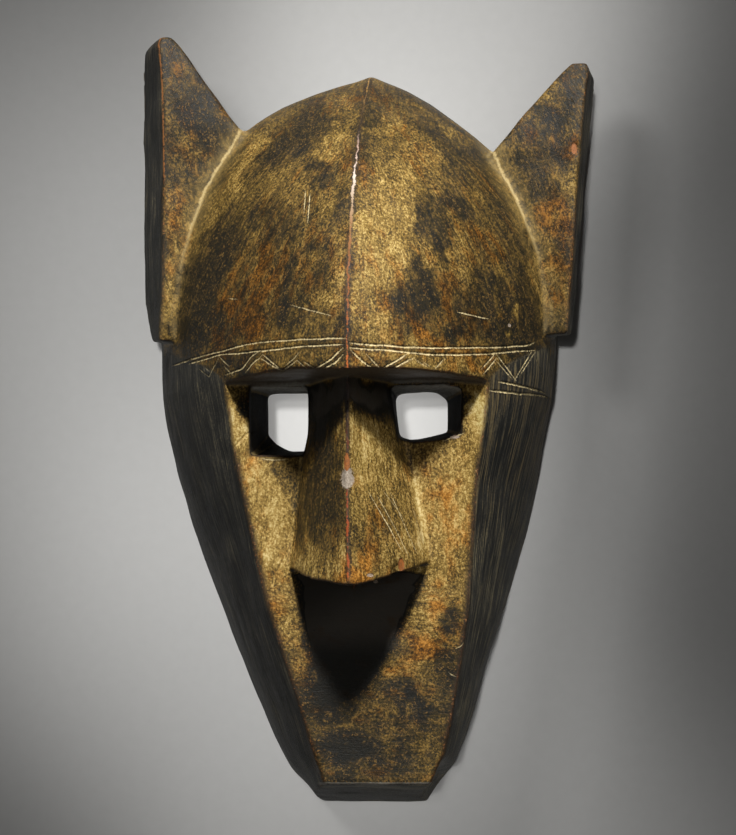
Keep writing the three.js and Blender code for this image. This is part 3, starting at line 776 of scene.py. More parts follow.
# Stains and worn places, and some painted shade and painted light, as soft ellipses seen from the front:
# middle x and y, half width and height, tone (black -1 to bare straw 1) and, where they are not 0, warmth
# (grey -1 to orange 1) and turn.
STAINS_AND_PAINTED_SHADING = [
    # dome, left half
    (-64, 350, 7, 25, 0.75, 0.1, -32), (-58, 366, 14, 5, 0.35, 0, 28), (-83, 325, 4, 14, 0.35, 0, -20),
    (-41, 381, 25, 4, 0.2, 0, 25), (-41, 354, 19, 11, -0.5, 0, 30), (-26, 368, 11, 5, -0.45, 0, 25),
    (-22, 334, 7, 8, -0.5), (-16, 354, 9, 12, 0.5, 0.1, -15), (-13, 384, 7, 8, 0.35, 0.2),
    (-33, 321, 14, 13, 0.18, 0.2), (-65, 329, 12, 6, 0.15, 0, 10), (-72, 342, 5, 11, 0.2, 0, -30),
    (-78, 299, 13, 20, -0.6), (-87, 274, 12, 24, -0.75, -0.1), (-55, 313, 9, 6, -0.3),
    (-48, 284, 12, 18, 0, 0.6), (-65, 261, 13, 16, -0.05, 0.75), (-41, 296, 6, 11, -0.2, 0.2),
    (-40, 267, 4, 13, -0.7), (-39, 248, 5, 8, -0.7), (-52, 254, 6, 12, -0.05, 0.5),
    (-19, 258, 7, 8, 0.55, 0.1), (-28, 249, 6, 7, 0.1, 0.1), (-13, 287, 5, 21, 0.4, 0.15, -5),
    (-25, 281, 6, 12, -0.15, 0.2), (-24, 302, 5, 8, 0.1, 0.3), (-12, 313, 3, 16, -0.25, 0, -8),
    (-8, 249, 3, 11, -0.35), (-93, 249, 15, 13, -0.85, -0.1, 15), (-75, 246, 9, 6, -0.2, 0.4),
    (-28, 229, 24, 6, 0.1, 0.1, 3), (-68, 233, 13, 5, -0.55, 0.2, 5),
    # dome, right half
    (13, 298, 17, 32, 0.78, 0.15), (4, 265, 8, 25, 0.62, 0.1), (19, 330, 12, 14, 0.45, 0.1),
    (8, 341, 9, 12, 0.25, -0.1), (2, 368, 5, 14, -0.15, -0.2), (17, 363, 10, 12, 0.45, 0.2, -30),
    (32, 350, 9, 14, 0.4, 0.3, -35), (37, 379, 26, 4, -0.3, -0.1, -27), (26, 372, 5, 4, -0.4),
    (39, 361, 18, 4, -0.3, -0.1, -32), (60, 350, 7, 11, -0.65, -0.1, 35), (53, 327, 11, 10, -0.15),
    (50, 316, 9, 9, -0.75, -0.1), (45, 292, 5, 14, -0.75, -0.1, 8), (33, 306, 4, 10, -0.35),
    (35, 283, 6, 8, 0.35, 0.25), (31, 270, 6, 14, -0.55, 0, 15), (25, 258, 5, 7, -0.6),
    (42, 323, 7, 5, 0.35, 0.2), (55, 303, 7, 9, 0.15, 0.3), (53, 285, 4, 14, 0.3, 0.2, -8),
    (68, 297, 10, 12, 0.05, 0.4), (76, 272, 6, 8, 0.45, 0.6), (43, 263, 6, 14, 0.05, 0.5),
    (57, 258, 11, 16, -0.3, 0.15), (57, 248, 12, 7, -0.2, 0.5), (68, 275, 6, 16, -0.55),
    (73, 319, 11, 16, -0.2, 0, -25), (82, 290, 5, 18, -0.3, 0, -12), (85, 260, 10, 18, -0.7, -0.1),
    (72, 251, 10, 11, -0.6), (81, 257, 2, 2, 0.8, -0.2), (48, 244, 4, 7, -0.6), (37, 244, 4, 5, 0.35, 1),
    (10, 245, 11, 9, 0.55, 0.1), (22, 230, 23, 6, 0.6, 0.15, -3), (53, 232, 16, 5, 0.45, 0.45, -4),
    (88, 234, 12, 9, -0.65, -0.1),
    # cheeks and eyes
    (-51, 144, 11, 32, 0.35, 0.15), (-46, 143, 4, 25, 0.7), (-44, 175, 10, 7, -0.25, -0.1),
    # the pale patches at x -67 and 60, beside the eyes, are painted light on recess sides in the brow's
    # shadow, the right one partly dust
    (-58, 171, 9, 14, 0.55, 0.1), (-67, 204, 7, 17, 0.85, 0.05, -18), (60, 203, 7, 18, 0.95, -0.4, 14),
    (47, 155, 11, 32, 0.45, 0.32), (30, 155, 5, 25, 0.8, 0, -8), (40, 179, 12, 9, 0.3, 0.25),
    (2, 183, 8, 16, 0.55, 0.1), (13, 170, 11, 16, 0.2, 0, -10), (19, 148, 9, 18, 0.05, 0, -12),
    (6, 141, 8, 19, -0.1, 0.25), (2, 129, 4, 5, 0.35, 0.8), (24, 127, 7, 9, 0.15, 0.2),
    (-22, 169, 9, 37, -0.6, 0, 2), (-35, 149, 4, 26, -0.4, 0, 2), (-28, 127, 3, 14, 0.1),
    (-17, 133, 4, 16, -0.1, 0.2), (-19, 118, 11, 4, 0.15), (-4, 115, 7, 4, 0.3, 1),
    # from (-7, 216) on, the dark patches at the nose's root and over the eyes are painted shade under the
    # brow
    (12, 119, 14, 4, 0.1, 0.3), (-7, 216, 34, 9, -1.3), (-18, 203, 11, 15, -1.0), (-50, 214, 18, 7, -1.2),
    (36, 214, 20, 6, -1.2), (52, 213, 6, 6, -0.8), (9, 206, 13, 8, -1.1, 0, -30),
    # lower face
    (-43, 107, 6, 18, 0.7, 0.1, 8), (-36, 77, 6, 19, 0.45, 0.3, 12), (-31, 53, 6, 11, 0.1, 0.2),
    (-26, 38, 6, 6, 0.1, 0.1), (38, 109, 12, 14, 0.7, 0.3), (36, 85, 13, 11, 0.5, 0.7),
    (21, 72, 9, 9, 0.45, 0.5), (17, 88, 5, 9, 0.2, 0.3), (46, 93, 6, 5, -0.45, -0.1), (45, 73, 6, 12, -0.3),
    (23, 57, 5, 5, -0.8, -0.1), (18, 45, 6, 5, -0.5), (31, 46, 6, 8, -0.5), (39, 50, 4, 8, 0.3, 0.1),
    (10, 49, 8, 5, 0.3, 0.4), (10, 36, 5, 4, 0.25, 0.1), (-8, 29, 18, 9, -0.55, 0.1),
    (-19, 49, 11, 11, -0.5, 0.3), (26, 29, 11, 9, 0.3, -0.1), (15, 23, 4, 4, -0.5), (-16, 17, 6, 8, 0.1),
    (-10, 13, 6, 5, -0.35, -0.1), (3, 17, 5, 6, 0.15, 0.2), (18, 16, 9, 5, 0.1, 0.2), (31, 17, 6, 5, 0.15),
    (-4, 5, 33, 3, -0.4),
    # ears
    (-108, 388, 7, 24, 0.12, 0.1), (-113, 407, 3, 11, -0.35, -0.2), (-99, 378, 8, 8, -0.35, -0.1),
    (-90, 375, 5, 19, -0.5, -0.3, 28), (-81, 357, 5, 12, -0.35, -0.1, 35), (-106, 357, 8, 12, 0.05, 0.1),
    (-96, 349, 7, 5, 0.15, 0.15), (-107, 339, 8, 4, -0.25, -0.1), (-104, 315, 8, 19, 0.4, 0.2, 8),
    (-108, 282, 5, 19, 0.5, 0.1, 4), (-88, 345, 4, 4, -0.4, -0.1), (-96, 403, 3, 19, -0.6, -0.1, 26),
    (114, 395, 9, 8, -0.1), (98, 372, 14, 10, -0.6, -0.1, 25), (106, 355, 9, 8, -0.35),
    (93, 347, 11, 12, -0.1, -0.15), (78, 359, 7, 8, 0.05), (101, 319, 9, 17, 0.25, 0.4),
    (105, 287, 7, 20, 0.05, 0.3), (97, 293, 3, 9, 0.3, 0.4), (103, 262, 7, 9, -0.5, -0.1),
    (114, 356, 4, 5, 0.2, 1),
]

# Painted shadow that the nose casts on the face below it, between a left and a right limit.
NOSE_SHADOW_PAINT = dict(
    y=[45, 61, 77, 93, 112, 124],
    left=[-18, -26, -31, -35, -38, -41],
    right=[-9, 3, 13, 21, 30, 34],
)

# Small places where the skin of patina is off: middle x, y, half width and height, depth, and how red
# the wood in them is (0 pale, 1 orange).
BARE_SPOTS = [
    (-6.7, 167.2, 3.3, 5.2, 0.6, 0.0), (-6.9, 174.8, 1.5, 5.0, 0.4, 1.0),
    (20.6, 123.4, 1.4, 3.2, 0.6, 1.0), (5.3, 116.6, 1.6, 0.9, 0.4, 0.2), (113.6, 355.6, 1.5, 3.0, 0.7, 0.9),
    (78.0, 254.5, 0.8, 0.9, 0.3, 0.1), (48.5, 193.4, 2.6, 0.8, 0.3, 0.1),
]

# The valleys where the ears meet the dome, from the front: height, then x on the left and on the right.
SEAMS = dict(
    y=[245, 257, 265, 282, 298, 311, 324, 335, 345, 356, 368],
    left=[-110, -109.1, -108, -105.3, -102.1, -98.3, -93.9, -90.1, -84.7, -77.6, -71.1],
    right=[101.5, 101, 100.3, 98, 93.5, 88.6, 83.6, 78.8, 73.3, 69.1, 64],
)

# Tones that the stains of each zone are added to, and the limits of the zones.
DOME_TONE, EAR_TONE, LOWER_FACE_TONE, CHIN_TONE = -0.18, -0.22, -0.3, -0.5
EAR_WARMTH = 0.2
EAR_STAIN_X, BROW_SHADOW_ZONE_Y, LOWER_FACE_Y, CHIN_Y = 90, 200, 110, 60
EAR_FOOT_Y = 245  # from here up a point can be on an ear
TEMPLE_FADE_Y = 256  # up to here the black of the side walls runs onto the dome
TEMPLE_SPREAD = (45, 36)
DOME_FOOT_Z = 26
EAR_FOOT_Z = 30
FLOW_TOP_Y = 398
FLOW_WIDTH = 160
FLOW_LEAST_HEIGHT = 45
CHIN_FLOW_Y = 112  # below here the strokes run across the face
DOME_FLOW_RADIUS = 165
WALL_FLOW_DEPTH = 120
SPOT_DEPTH, SPOT_REACH, SPOT_STEP = 0.8, 14, 1.2


def row_at(rows, key, y):
    return np.interp(y, rows["y"], rows[key])


def seam_values(co):
    """Distance from the valley at the nearer ear, above 0 on the dome's side, and how far it shows."""
    x, y, z = co.T
    lines = []
    for key, side in (("left", 1), ("right", -1)):
        slope = np.interp(y, SEAMS["y"], np.gradient(SEAMS[key], SEAMS["y"]))
        lines.append(side * (x - row_at(SEAMS, key, y)) / np.sqrt(1 + slope ** 2))
    shown = smoothstep(y, 248, 266) * (1 - smoothstep(y, 366, 376)) * smoothstep(z, 30, 44)
    return np.where(x < 0, lines[0], lines[1]), shown


def ellipse(x, y, cx, cy, rx, ry, turn=0):
    """How far out a point is from an ellipse's middle: 1 on its line."""
    c, s = math.cos(math.radians(turn)), math.sin(math.radians(turn))
    return np.sqrt((((x - cx) * c + (y - cy) * s) / rx) ** 2 + ((-(x - cx) * s + (y - cy) * c) / ry) ** 2)


def stain_and_shading_values(co):
    """Tone and warmth of the patina at each point, with painted shade and painted shadow laid in, before the
    fine mottling.
    """
    x, y, z = co.T
    wavy_x = x + 4.5 * noise_at(co, 13, 21) + 2.0 * noise_at(co, 5, 22)
    wavy_y = y + 6.0 * noise_at(co, 15, 23) + 2.5 * noise_at(co, 6, 24)
    face_tone = DOME_TONE + 0.4 * smoothstep(y, 60, 115)
    tone = 0.2 * noise_at(co, (16, 26, 16), 25) + np.where(y > BROW_Y, DOME_TONE, face_tone)
    warm = 0.18 + 0.3 * noise_at(co, 24, 26)
    for cx, cy, rx, ry, shade, *others in STAINS_AND_PAINTED_SHADING:
        warmth, turn = (*others, 0, 0)[:2]
        on_ear = abs(cx) >= EAR_STAIN_X and cy > TEMPLE_FADE_Y
        share = 1 - smoothstep(ellipse(wavy_x, wavy_y, cx, cy, rx, ry, turn), 0.5, 1.4)
        if BROW_SHADOW_ZONE_Y < cy < BROW_Y:
            # the shade under the brow ends at the brow
            share = share * (y < BROW_Y + 1)
        if cy > BROW_Y:
            shade = (EAR_TONE if on_ear else DOME_TONE) + shade * 0.75
        elif cy < LOWER_FACE_Y:
            shade = (LOWER_FACE_TONE if cy > CHIN_Y else CHIN_TONE) + shade * 0.8
        tone = tone * (1 - 0.8 * share) + shade * share
        warm = warm * (1 - 0.7 * share) + (warmth + (EAR_WARMTH if on_ear else 0)) * share
    # the nose's painted shadow on the face below it, pushed to near black
    within = np.minimum(x - row_at(NOSE_SHADOW_PAINT, "left", y), row_at(NOSE_SHADOW_PAINT, "right", y) - x)
    soot_and_painted_shade = smoothstep(within, -2, 5) * smoothstep(y, 44, 62) * (y < 121) * (z < 94)
    # the top of the dome is made darker as painted shade
    return tone - 0.12 * smoothstep(y, 320, 380) - (tone + 1.35) * soot_and_painted_shade, warm


def spot_values(co):
    """Depth, bareness and redness of the small chipped places."""
    depth, bare, red = np.zeros(len(co)), np.full(len(co), -1.0), np.zeros(len(co))
    for cx, cy, rx, ry, deep, redness in BARE_SPOTS:
        around = (np.abs(co[:, :2] - (cx, cy)).max(1) < SPOT_REACH) & (co[:, 2] > 50)
        x, y, _ = co[around].T
        d = np.abs(x - cx) / rx * 0.6 + np.abs(y - cy) / ry * 0.6
        d = np.maximum(d, ellipse(x, y, cx, cy, rx, ry) * 0.85)
        inside = np.clip(1 - d, -1, 1)
        depth[around] = np.maximum(depth[around], smoothstep(inside, -0.05, 0.3) * deep)
        red[around] = np.where(inside > bare[around], redness, red[around])
        bare[around] = np.maximum(bare[around], inside)
    return depth, bare, red


def side_values(x, y, z):
    """How far a point is outside the face, the dome or an ear seen from the front, onto the dark sides."""
    above = smoothstep(y, BROW_Y, TEMPLE_FADE_Y)
    edge_l = row_at(FACE_ROWS, "edgeL", y) - TEMPLE_SPREAD[0] * above
    edge_r = row_at(FACE_ROWS, "edgeR", y) + TEMPLE_SPREAD[1] * above
    side = np.maximum(np.maximum(edge_l - x, x - edge_r), np.where(y > BROW_Y, DOME_FOOT_Z - z, -30))
    ear_l, ear_r = (np.interp(y, *np.array(rows)[:, :2].T) for rows in (LEFT_EAR, RIGHT_EAR))
    ear_side = np.maximum(np.maximum(ear_l - x, x - ear_r), EAR_FOOT_Z - z)
    side = np.where((y > EAR_FOOT_Y) & (np.abs(x) > 100), ear_side, side)
    chin_end = (y < 4) | ((y < 11) & (z < 80))
    return np.where(chin_end, 12, side)


def flow_values(x, y, z, turn, side, on_ear):
    """Places across and along the tool strokes, which fan out from the top of the dome."""
    spread = FLOW_WIDTH * np.tanh(np.maximum(FLOW_TOP_Y - y, FLOW_LEAST_HEIGHT) / FLOW_WIDTH)
    low = (y < CHIN_FLOW_Y) & (side < -1)
    across = np.where(low, y, np.where(on_ear, x + 0.3 * y, FLOW_WIDTH * x / spread))
    upwards = np.where((y > BROW_Y) & ~on_ear, BROW_Y + np.radians(turn) * DOME_FLOW_RADIUS, y)
    wall = (side > -1) & (y > 4)
    return dict(
        flow_u=np.where(wall, WALL_FLOW_DEPTH * (z / row_at(FACE_ROWS, "edgeZ", y)), across),
        flow_v=np.where(wall, y, np.where(low, x + 0.3 * y, upwards)),
        flow_w=np.where(wall, np.sign(x) * 40, z),
    )


def paint_values(co, no, fields):
    """What the material reads at each point: distances from lines and edges, zones and stains."""
    x, y, z = co.T
    body, worn, cavity, eyes = (read_field(field, co) for field in fields)
    turn = np.degrees(np.arctan2(np.maximum(y - BROW_Y, 0), np.maximum(z, 1e-3)))
    dome_keel = np.interp(turn, DOME_ROWS["turn"], DOME_ROWS["keelX"])
    in_nose = np.minimum(x - row_at(NOSE_ROWS, "baseL", y), row_at(NOSE_ROWS, "baseR", y) - x)
    side = side_values(x, y, z)
    seam, seam_shown = seam_values(co)
    tone, warm = stain_and_shading_values(co)
    return dict(
        flow_values(x, y, z, turn, side, (y > EAR_FOOT_Y) & (seam < 0)),
        ridge=x - np.where(y > BROW_Y - 1, dome_keel, row_at(NOSE_ROWS, "keelX", y)),
        arris=worn - body, side=side, seam=seam, seam_shown=seam_shown, tone=tone, warm=warm,
        nose=smoothstep(in_nose, -0.5, 1.5) * (z > 60) * (y > 104) * (y < BROW_Y),
        hollow=smoothstep(-np.abs(cavity), -3.2, -1.4),
        # eye: the walls of the eye holes, painted near black as shade
        eye=smoothstep(-np.abs(eyes), -2.2, -0.9),
        # under: faces that look down, painted dark as shade
        under=smoothstep(-no[:, 1], 0.45, 0.75) * (z > 1),
        ear=smoothstep(-seam, -2, 4) * (y > EAR_FOOT_Y) * (z > 20),
    )


def make_mask():
    points, quads, fields = carved_surface()
    mesh = decimated(to_mesh("carved_mask", points, quads))
    tree = surface_tree(mesh)
    samples, values = line_samples(tree)
    mesh = refine_near(mesh, np.concatenate([samples, spot_samples(tree)]))
    co, no = mesh_arrays(mesh)
    cuts = near_lines(co, samples, values)
    deep, bare, red = spot_values(co)
    co = co - no * (cuts[:, 0] * LINE_DEPTH + deep * SPOT_DEPTH)[:, None]
    paint = dict(paint_values(co, no, fields), cut=cuts[:, 1], white=cuts[:, 2], bare=bare, red=red)
    for name, amounts in paint.items():
        layer = mesh.attributes.new(name, "FLOAT", "POINT")
        layer.data.foreach_set("value", np.ascontiguousarray(amounts, np.float32))

    part = np.clip((co - PART_ORIGIN) * MM, np.array(cad_box[0], float), np.array(cad_box[1], float))
    mesh.vertices.foreach_set("co", part.astype(np.float32).ravel())
    mesh.shade_smooth()
    mesh.update()
    return add_thing("carved_mask", mesh)


mask = make_mask()
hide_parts("mask")
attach(mask, "root")


def srgb(r, g, b):
    """A picture's colour, of 0 to 255, as linear light."""
    lin = [c / 12.92 if c <= 0.04045 else ((c + 0.055) / 1.055) ** 2.4 for c in (r / 255, g / 255, b / 255)]
    return (*lin, 1.0)


def operation(kind, swap=False):
    def apply(self, other):
        a, b = (other, self) if swap else (self, other)
        return self.graph.math(kind, a, b)
    return apply


class Value:
    """A number in a node tree, so that a formula can be written as one."""

    def __init__(self, graph, socket):
        self.graph, self.socket = graph, socket

    __add__ = operation("ADD")
    __radd__ = operation("ADD", swap=True)
    __sub__ = operation("SUBTRACT")
    __rsub__ = operation("SUBTRACT", swap=True)
    __mul__ = operation("MULTIPLY")
    max = operation("MAXIMUM")

    def __neg__(self):
        return self * -1

    def abs(self):
        return self.graph.math("ABSOLUTE", self)

    def clip(self):
        return self.graph.math("ADD", self, 0, clamp=True)


class Graph:
    """A new material, and a short way to add each kind of node that it needs."""

    def __init__(self, name):
        self.material = bpy.data.materials.new(name)
        self.material.use_nodes = True
        self.tree = self.material.node_tree
        self.tree.nodes.clear()
        self.mm = self.scaled(self.add("ShaderNodeTexCoord").outputs["Object"], (1000, 1000, 1000))

    def add(self, kind, values=(), **props):
        node = self.tree.nodes.new(kind)
        for key, value in props.items():
            setattr(node, key, value)
        for key, value in dict(values).items():
            self.feed(node.inputs[key], value)
        return node

    def feed(self, socket, value):
        if isinstance(value, Value):
            value = value.socket
        if isinstance(value, bpy.types.NodeSocket):
            self.tree.links.new(value, socket)
        else:
            socket.default_value = srgb(*value) if socket.type == "RGBA" else value

    def math(self, kind, *numbers, clamp=False):
        node = self.add("ShaderNodeMath", enumerate(numbers), operation=kind, use_clamp=clamp)
        return Value(self, node.outputs[0])

    def attribute(self, name):
        return Value(self, self.add("ShaderNodeAttribute", attribute_name=name).outputs["Fac"])

    def scaled(self, vector, scale, shift=(0, 0, 0)):
        values = {"Vector": vector, "Scale": scale, "Location": shift}
        return self.add("ShaderNodeMapping", values).outputs[0]

    def noise(self, vector, stretch, shift, scale, detail, rough, distortion=0.0):
        """Noise about 0, of a vector that is scaled and shifted first."""
        node = self.add("ShaderNodeTexNoise", {
            "Vector": self.scaled(vector, stretch, shift), "Scale": scale, "Detail": detail,
            "Roughness": rough, "Distortion": distortion})
        return Value(self, node.outputs[0]) - 0.5

    def step(self, value, low, high, kind="SMOOTHSTEP"):
        limits = {"Value": value, "From Min": low, "From Max": high}
        return Value(self, self.add("ShaderNodeMapRange", limits, interpolation_type=kind).outputs[0])

    def ramp(self, share, *stops):
        """A scale of colours, each given as its place from 0 to 1 and its red, green and blue."""
        node = self.add("ShaderNodeValToRGB", {"Fac": share})
        band = node.color_ramp
        while len(band.elements) < len(stops):
            band.elements.new(0.5)
        for element, (at, *colour) in zip(band.elements, stops):
            element.position = at
            element.color = srgb(*colour)
        return node.outputs[0]

    def mix(self, share, a, b, kind="MIX"):
        inputs = {0: share, 6: a, 7: b}
        node = self.add("ShaderNodeMix", inputs, data_type="RGBA", blend_type=kind, clamp_factor=True)
        return node.outputs[2]

    def tinted(self, share, colour, tint):
        return self.mix(share, colour, self.mix(1.0, colour, tint, "MULTIPLY"))


# What the layers of the wood's material share: places in millimetres, the values that the mesh carries,
# and noises, most of them drawn out along the tool strokes.
wood = Graph("aged_wood")
step, mix, ramp, tinted = wood.step, wood.mix, wood.ramp, wood.tinted
place = wood.add("ShaderNodeSeparateXYZ", {"Vector": wood.mm})
height = Value(wood, place.outputs[1]) + float(PART_ORIGIN[1])
forward = Value(wood, place.outputs[2])
side, ridge, arris = map(wood.attribute, ("side", "ridge", "arris"))
hollow, under, nose, ear, eye = map(wood.attribute, ("hollow", "under", "nose", "ear", "eye"))
seam, seam_shown, tone, warm = map(wood.attribute, ("seam", "seam_shown", "tone", "warm"))
cut, white, bare, red = map(wood.attribute, ("cut", "white", "bare", "red"))
flow = wood.add("ShaderNodeCombineXYZ", {
    axis: wood.attribute("flow_" + name) for axis, name in zip("XYZ", "uvw")}).outputs[0]
fleck = wood.noise(wood.mm, (1, 0.8, 1), (0, 0, 0), 0.2, 8, 0.74, 0.9)
speck = wood.noise(wood.mm, (1, 0.9, 1), (7, 3, 5), 0.85, 4, 0.74)
blotch = wood.noise(flow, (1, 0.56, 1), (4, 4, 9), 0.16, 9, 0.7, 0.4)
stroke = wood.noise(flow, (1, 0.42, 1), (8, 2, 6), 0.5, 5, 0.8, 0.9)
fibre = wood.noise(flow, (1, 0.035, 1), (2, 9, 4), 1.1, 2, 0.6)
streak = wood.noise(flow, (1, 0.13, 1), (5, 1, 3), 0.25, 5, 0.66)
cloud = wood.noise(flow, (1, 0.7, 1), (3, 8, 1), 0.06, 5, 0.6)
wall = step(side + fleck * 5 + streak * 3, -1.8, 1.6)


def patina():
    """The mottled brown of the front, and how light it is before its dark blotches."""
    pale = step(tone, 0.05, 0.6)
    light = (tone.max(-0.3) - step(-tone, 0.8, 1.1) * 0.7 - pale * 0.08 + fleck * 1.9 * (1 - nose * 0.5)
             + speck * (3.8 - pale * 0.9) + stroke * (2.6 - pale * 0.5) + cloud * 0.7
             + streak * (0.7 + nose * 1.5) + fibre * (0.3 + nose * 0.8))
    colour = ramp(
        light * 0.35 + 0.51, (0.1, 20, 20, 16), (0.3, 40, 35, 20), (0.45, 78, 61, 28), (0.6, 121, 95, 43),
        (0.76, 168, 140, 78), (0.95, 206, 186, 132))
    dark = step(blotch * 3.0 + stroke * 3.0 + speck * 2.6 - tone * 1.1, 0.48, 0.58)
    # where the painted shade under the brow and the nose's painted shadow lie, the dark is a dull
    # grey-brown, not black
    painted_shade_zone = step(-tone, 1.02, 1.16) * step(height, 74, 94)
    colour = mix(dark * 0.9, colour, mix(painted_shade_zone, (24, 23, 19), (56, 51, 44)))
    glint = step(stroke * 2.4 + speck * 2.4 + fleck * 0.8, 0.2, 0.32) * step(tone, -1.0, -0.7)
    glint_colour = mix(step(tone, -0.4, 0.5), (128, 98, 48), (202, 172, 102))
    colour = mix(glint * (1 - pale * 0.6) * 0.56, colour, glint_colour)
    heat = warm + wood.noise(flow, (1, 0.6, 1), (1, 6, 8), 0.11, 5, 0.66) * 2.6
    colour = tinted(step(heat, 0.15, 0.9) * 0.85, colour, (255, 204, 132))
    return tinted(step(-heat, 0.0, 0.6) * 0.7, colour, (232, 236, 224)), light


def dark_walls(colour):
    """A ragged dark band beside the face's arrises, soot with fine lines on the side walls, and the same
    dark painted as shade on faces that look down.
    """
    beside = step(side + fleck * 7 + stroke * 5, -4.2, -0.8) * (1 - step(height, 176, 192))
    flecked = step(speck + stroke, 0.12, 0.2) * 0.6
    colour = mix(beside * 0.85, colour, mix(flecked, (40, 31, 21), (140, 92, 42)))
    right = step(ridge, -5, 5)
    soot_and_painted_shade = ramp(
        fibre * (right * 1.1 + 1.3) + cloud * 0.8 + streak * 0.3 + 0.46 + speck * 0.9 + right * 0.06,
        (0.1, 22, 22, 20), (0.5, 41, 40, 36), (0.72, 70, 66, 56), (0.95, 122, 112, 84))
    olive = right * step(height, 120, 190) * (1 - step(height, 225, 250))
    soot_and_painted_shade = mix(olive * step(cloud * 0.8 + fibre * 1.9, 0.02, 0.24) * 0.6, soot_and_painted_shade, (90, 73, 41))
    # soot on the side walls, and on faces that look down the same dark as painted shade
    colour = mix((wall + under).clip(), colour, soot_and_painted_shade)
    # the chin's end, which looks down, is darkened further as painted shade
    chin_end = step(height, 7, 4) * step(forward, 3, 8) * under
    return mix(chin_end, colour, mix(0.6, colour, (22, 20, 17)))


def hollow_and_brow(colour):
    """Plain brown in the hollow, painted black shade in the eye holes, and a dark brown on the brow's
    underside with a pale grey band of painted reflected light over the eyes.
    """
    inner = ramp(fibre + fleck + 0.5, (0.2, 34, 26, 18), (0.5, 62, 47, 30), (0.8, 92, 70, 44))
    # the walls of the eye holes are painted near black, as shade
    colour = mix(eye * 0.95, mix(hollow, colour, inner), (13, 12, 10))
    brow = under * step(height, 214, 219) * (1 - step(height, 226, 230))
    dust = mix(step(stroke, -0.2, 0.2), (56, 48, 37), (84, 74, 60))
    # over the eyes, a pale grey band painted as light reflected from below
    reflected_light_band = mix(step(stroke + fleck, -0.2, 0.25), (120, 116, 105), (160, 156, 144))
    return mix(brow, colour, mix(step(forward + fleck * 8, 97, 90), dust, reflected_light_band))


def worn_arrises(colour):
    """Dark red-brown on worn arrises, broken by specks of orange and straw, and a pale grey line at the
    chin's lower edge, partly wear and partly painted highlight.
    """
    worn = step(arris + speck * 0.9 + fleck * 0.7, 0.36, 0.66) * (1 - hollow) * (1 - ear * 0.6)
    edge = ramp(
        speck * 1.6 + fleck * 1.2 + 0.46, (0.3, 34, 27, 20), (0.62, 66, 42, 25), (0.76, 134, 84, 42),
        (0.9, 196, 172, 128))
    colour = mix(worn * 0.8, colour, edge)
    thread = 1 - step((side + 0.5 + speck * 2.2).abs(), 0.1, 0.7)
    torn = step(ridge, 0, -20) * step(height, 322, 345) * 0.42 + 0.14 + fleck * 2.0 + speck * 1.5
    colour = mix(thread * ear * step(torn, 0.3, 0.5) * 0.85, colour, (136, 86, 44))
    # a pale grey line at the chin's lower edge: partly wear, partly painted highlight
    lip_wear_and_highlight = 1 - step((height - 8.6 + speck * 1.6).abs(), 0.35, 0.9)
    return mix(lip_wear_and_highlight * step(forward, 66, 74) * step(fleck, -0.3, 0.1) * 0.8, colour, (112, 108, 98))


def pale_valleys(colour):
    """Dust in inner corners, and a painted highlight in the valleys where the ears meet the dome: a pale
    line fading out to both sides.
    """
    upper = step(height, 286, 338)
    dust = step(-arris + speck * 0.4, 0.16, 0.46) * (1 - hollow) * (1 - under) * (1 - wall) * (1 - nose)
    colour = mix(dust * (1 - seam_shown * (0.85 - upper * 0.4)) * 0.5, colour, (170, 144, 92))
    # the pale line and its fading band are a painted highlight in the valley
    off = (seam + fleck * 3.0).abs()
    seam_highlight_glow = wood.math("EXPONENT", off * off * -0.03)
    colour = mix(seam_highlight_glow * seam_shown * (0.14 + upper * 0.22 + fleck * 1.5).clip(), colour, (160, 134, 78))
    line = 1 - step(off + speck * 2.4, 0.1, 1.3)
    return mix(line * seam_shown * (upper * 0.7 + 0.04 + fleck * 0.8).clip(), colour, (196, 172, 118))


KEEL_LOW_Y, KEEL_LENGTH = 108, 292


def keel_line(colour):
    """The thin line along the keel of nose and dome, which goes from orange to pale, and the painted shade
    on its dark sides.
    """
    at = (height - KEEL_LOW_Y) * (1 / KEEL_LENGTH)
    paint = ramp(
        at, (0.0, 160, 86, 34), (0.04, 142, 68, 26), (0.17, 132, 60, 26), (0.27, 84, 42, 22),
        (0.31, 26, 22, 18), (0.375, 44, 28, 20), (0.4, 176, 92, 38), (0.47, 142, 78, 28), (0.6, 124, 74, 28),
        (0.66, 138, 98, 56), (0.71, 160, 136, 108), (0.76, 204, 188, 172), (0.82, 172, 142, 124),
        (0.86, 40, 32, 24), (0.9, 54, 42, 28), (0.97, 146, 112, 60))
    paint = mix(step(speck + fleck * 0.4, 0.14, 0.22) * 0.7, paint, (178, 156, 132))
    paint = mix(step(-speck + fleck * 0.4, 0.12, 0.2) * 0.7, paint, (40, 28, 20))
    width = step(at, 0.56, 0.64) * (1 - step(at, 0.7, 0.84)) * 0.3 + 0.3
    wander = wood.noise(wood.mm, (0.2, 1, 0.2), (0, 0, 0), 0.16, 3, 0.7)
    swell = wood.noise(wood.mm, (0.2, 1, 0.2), (3, 7, 1), 0.3, 3, 0.75)
    near = step((ridge + wander * 3.6).abs() + speck * 1.6 - width - swell * 3.0, 0.2, -0.2, "LINEAR")
    shown = step(forward, 36, 46) * step(height, 112, 116) * (1 - hollow) * (1 - under)
    # both sides of the keel line are darkened, as painted shade
    beside = step(ridge.abs() + speck * 3 + fleck * 3, 2.6, 0.8)
    colour = mix(beside * shown * 0.6, colour, (34, 26, 18))
    return mix(near * shown * step(wander + fleck, -0.42, -0.12), colour, paint)


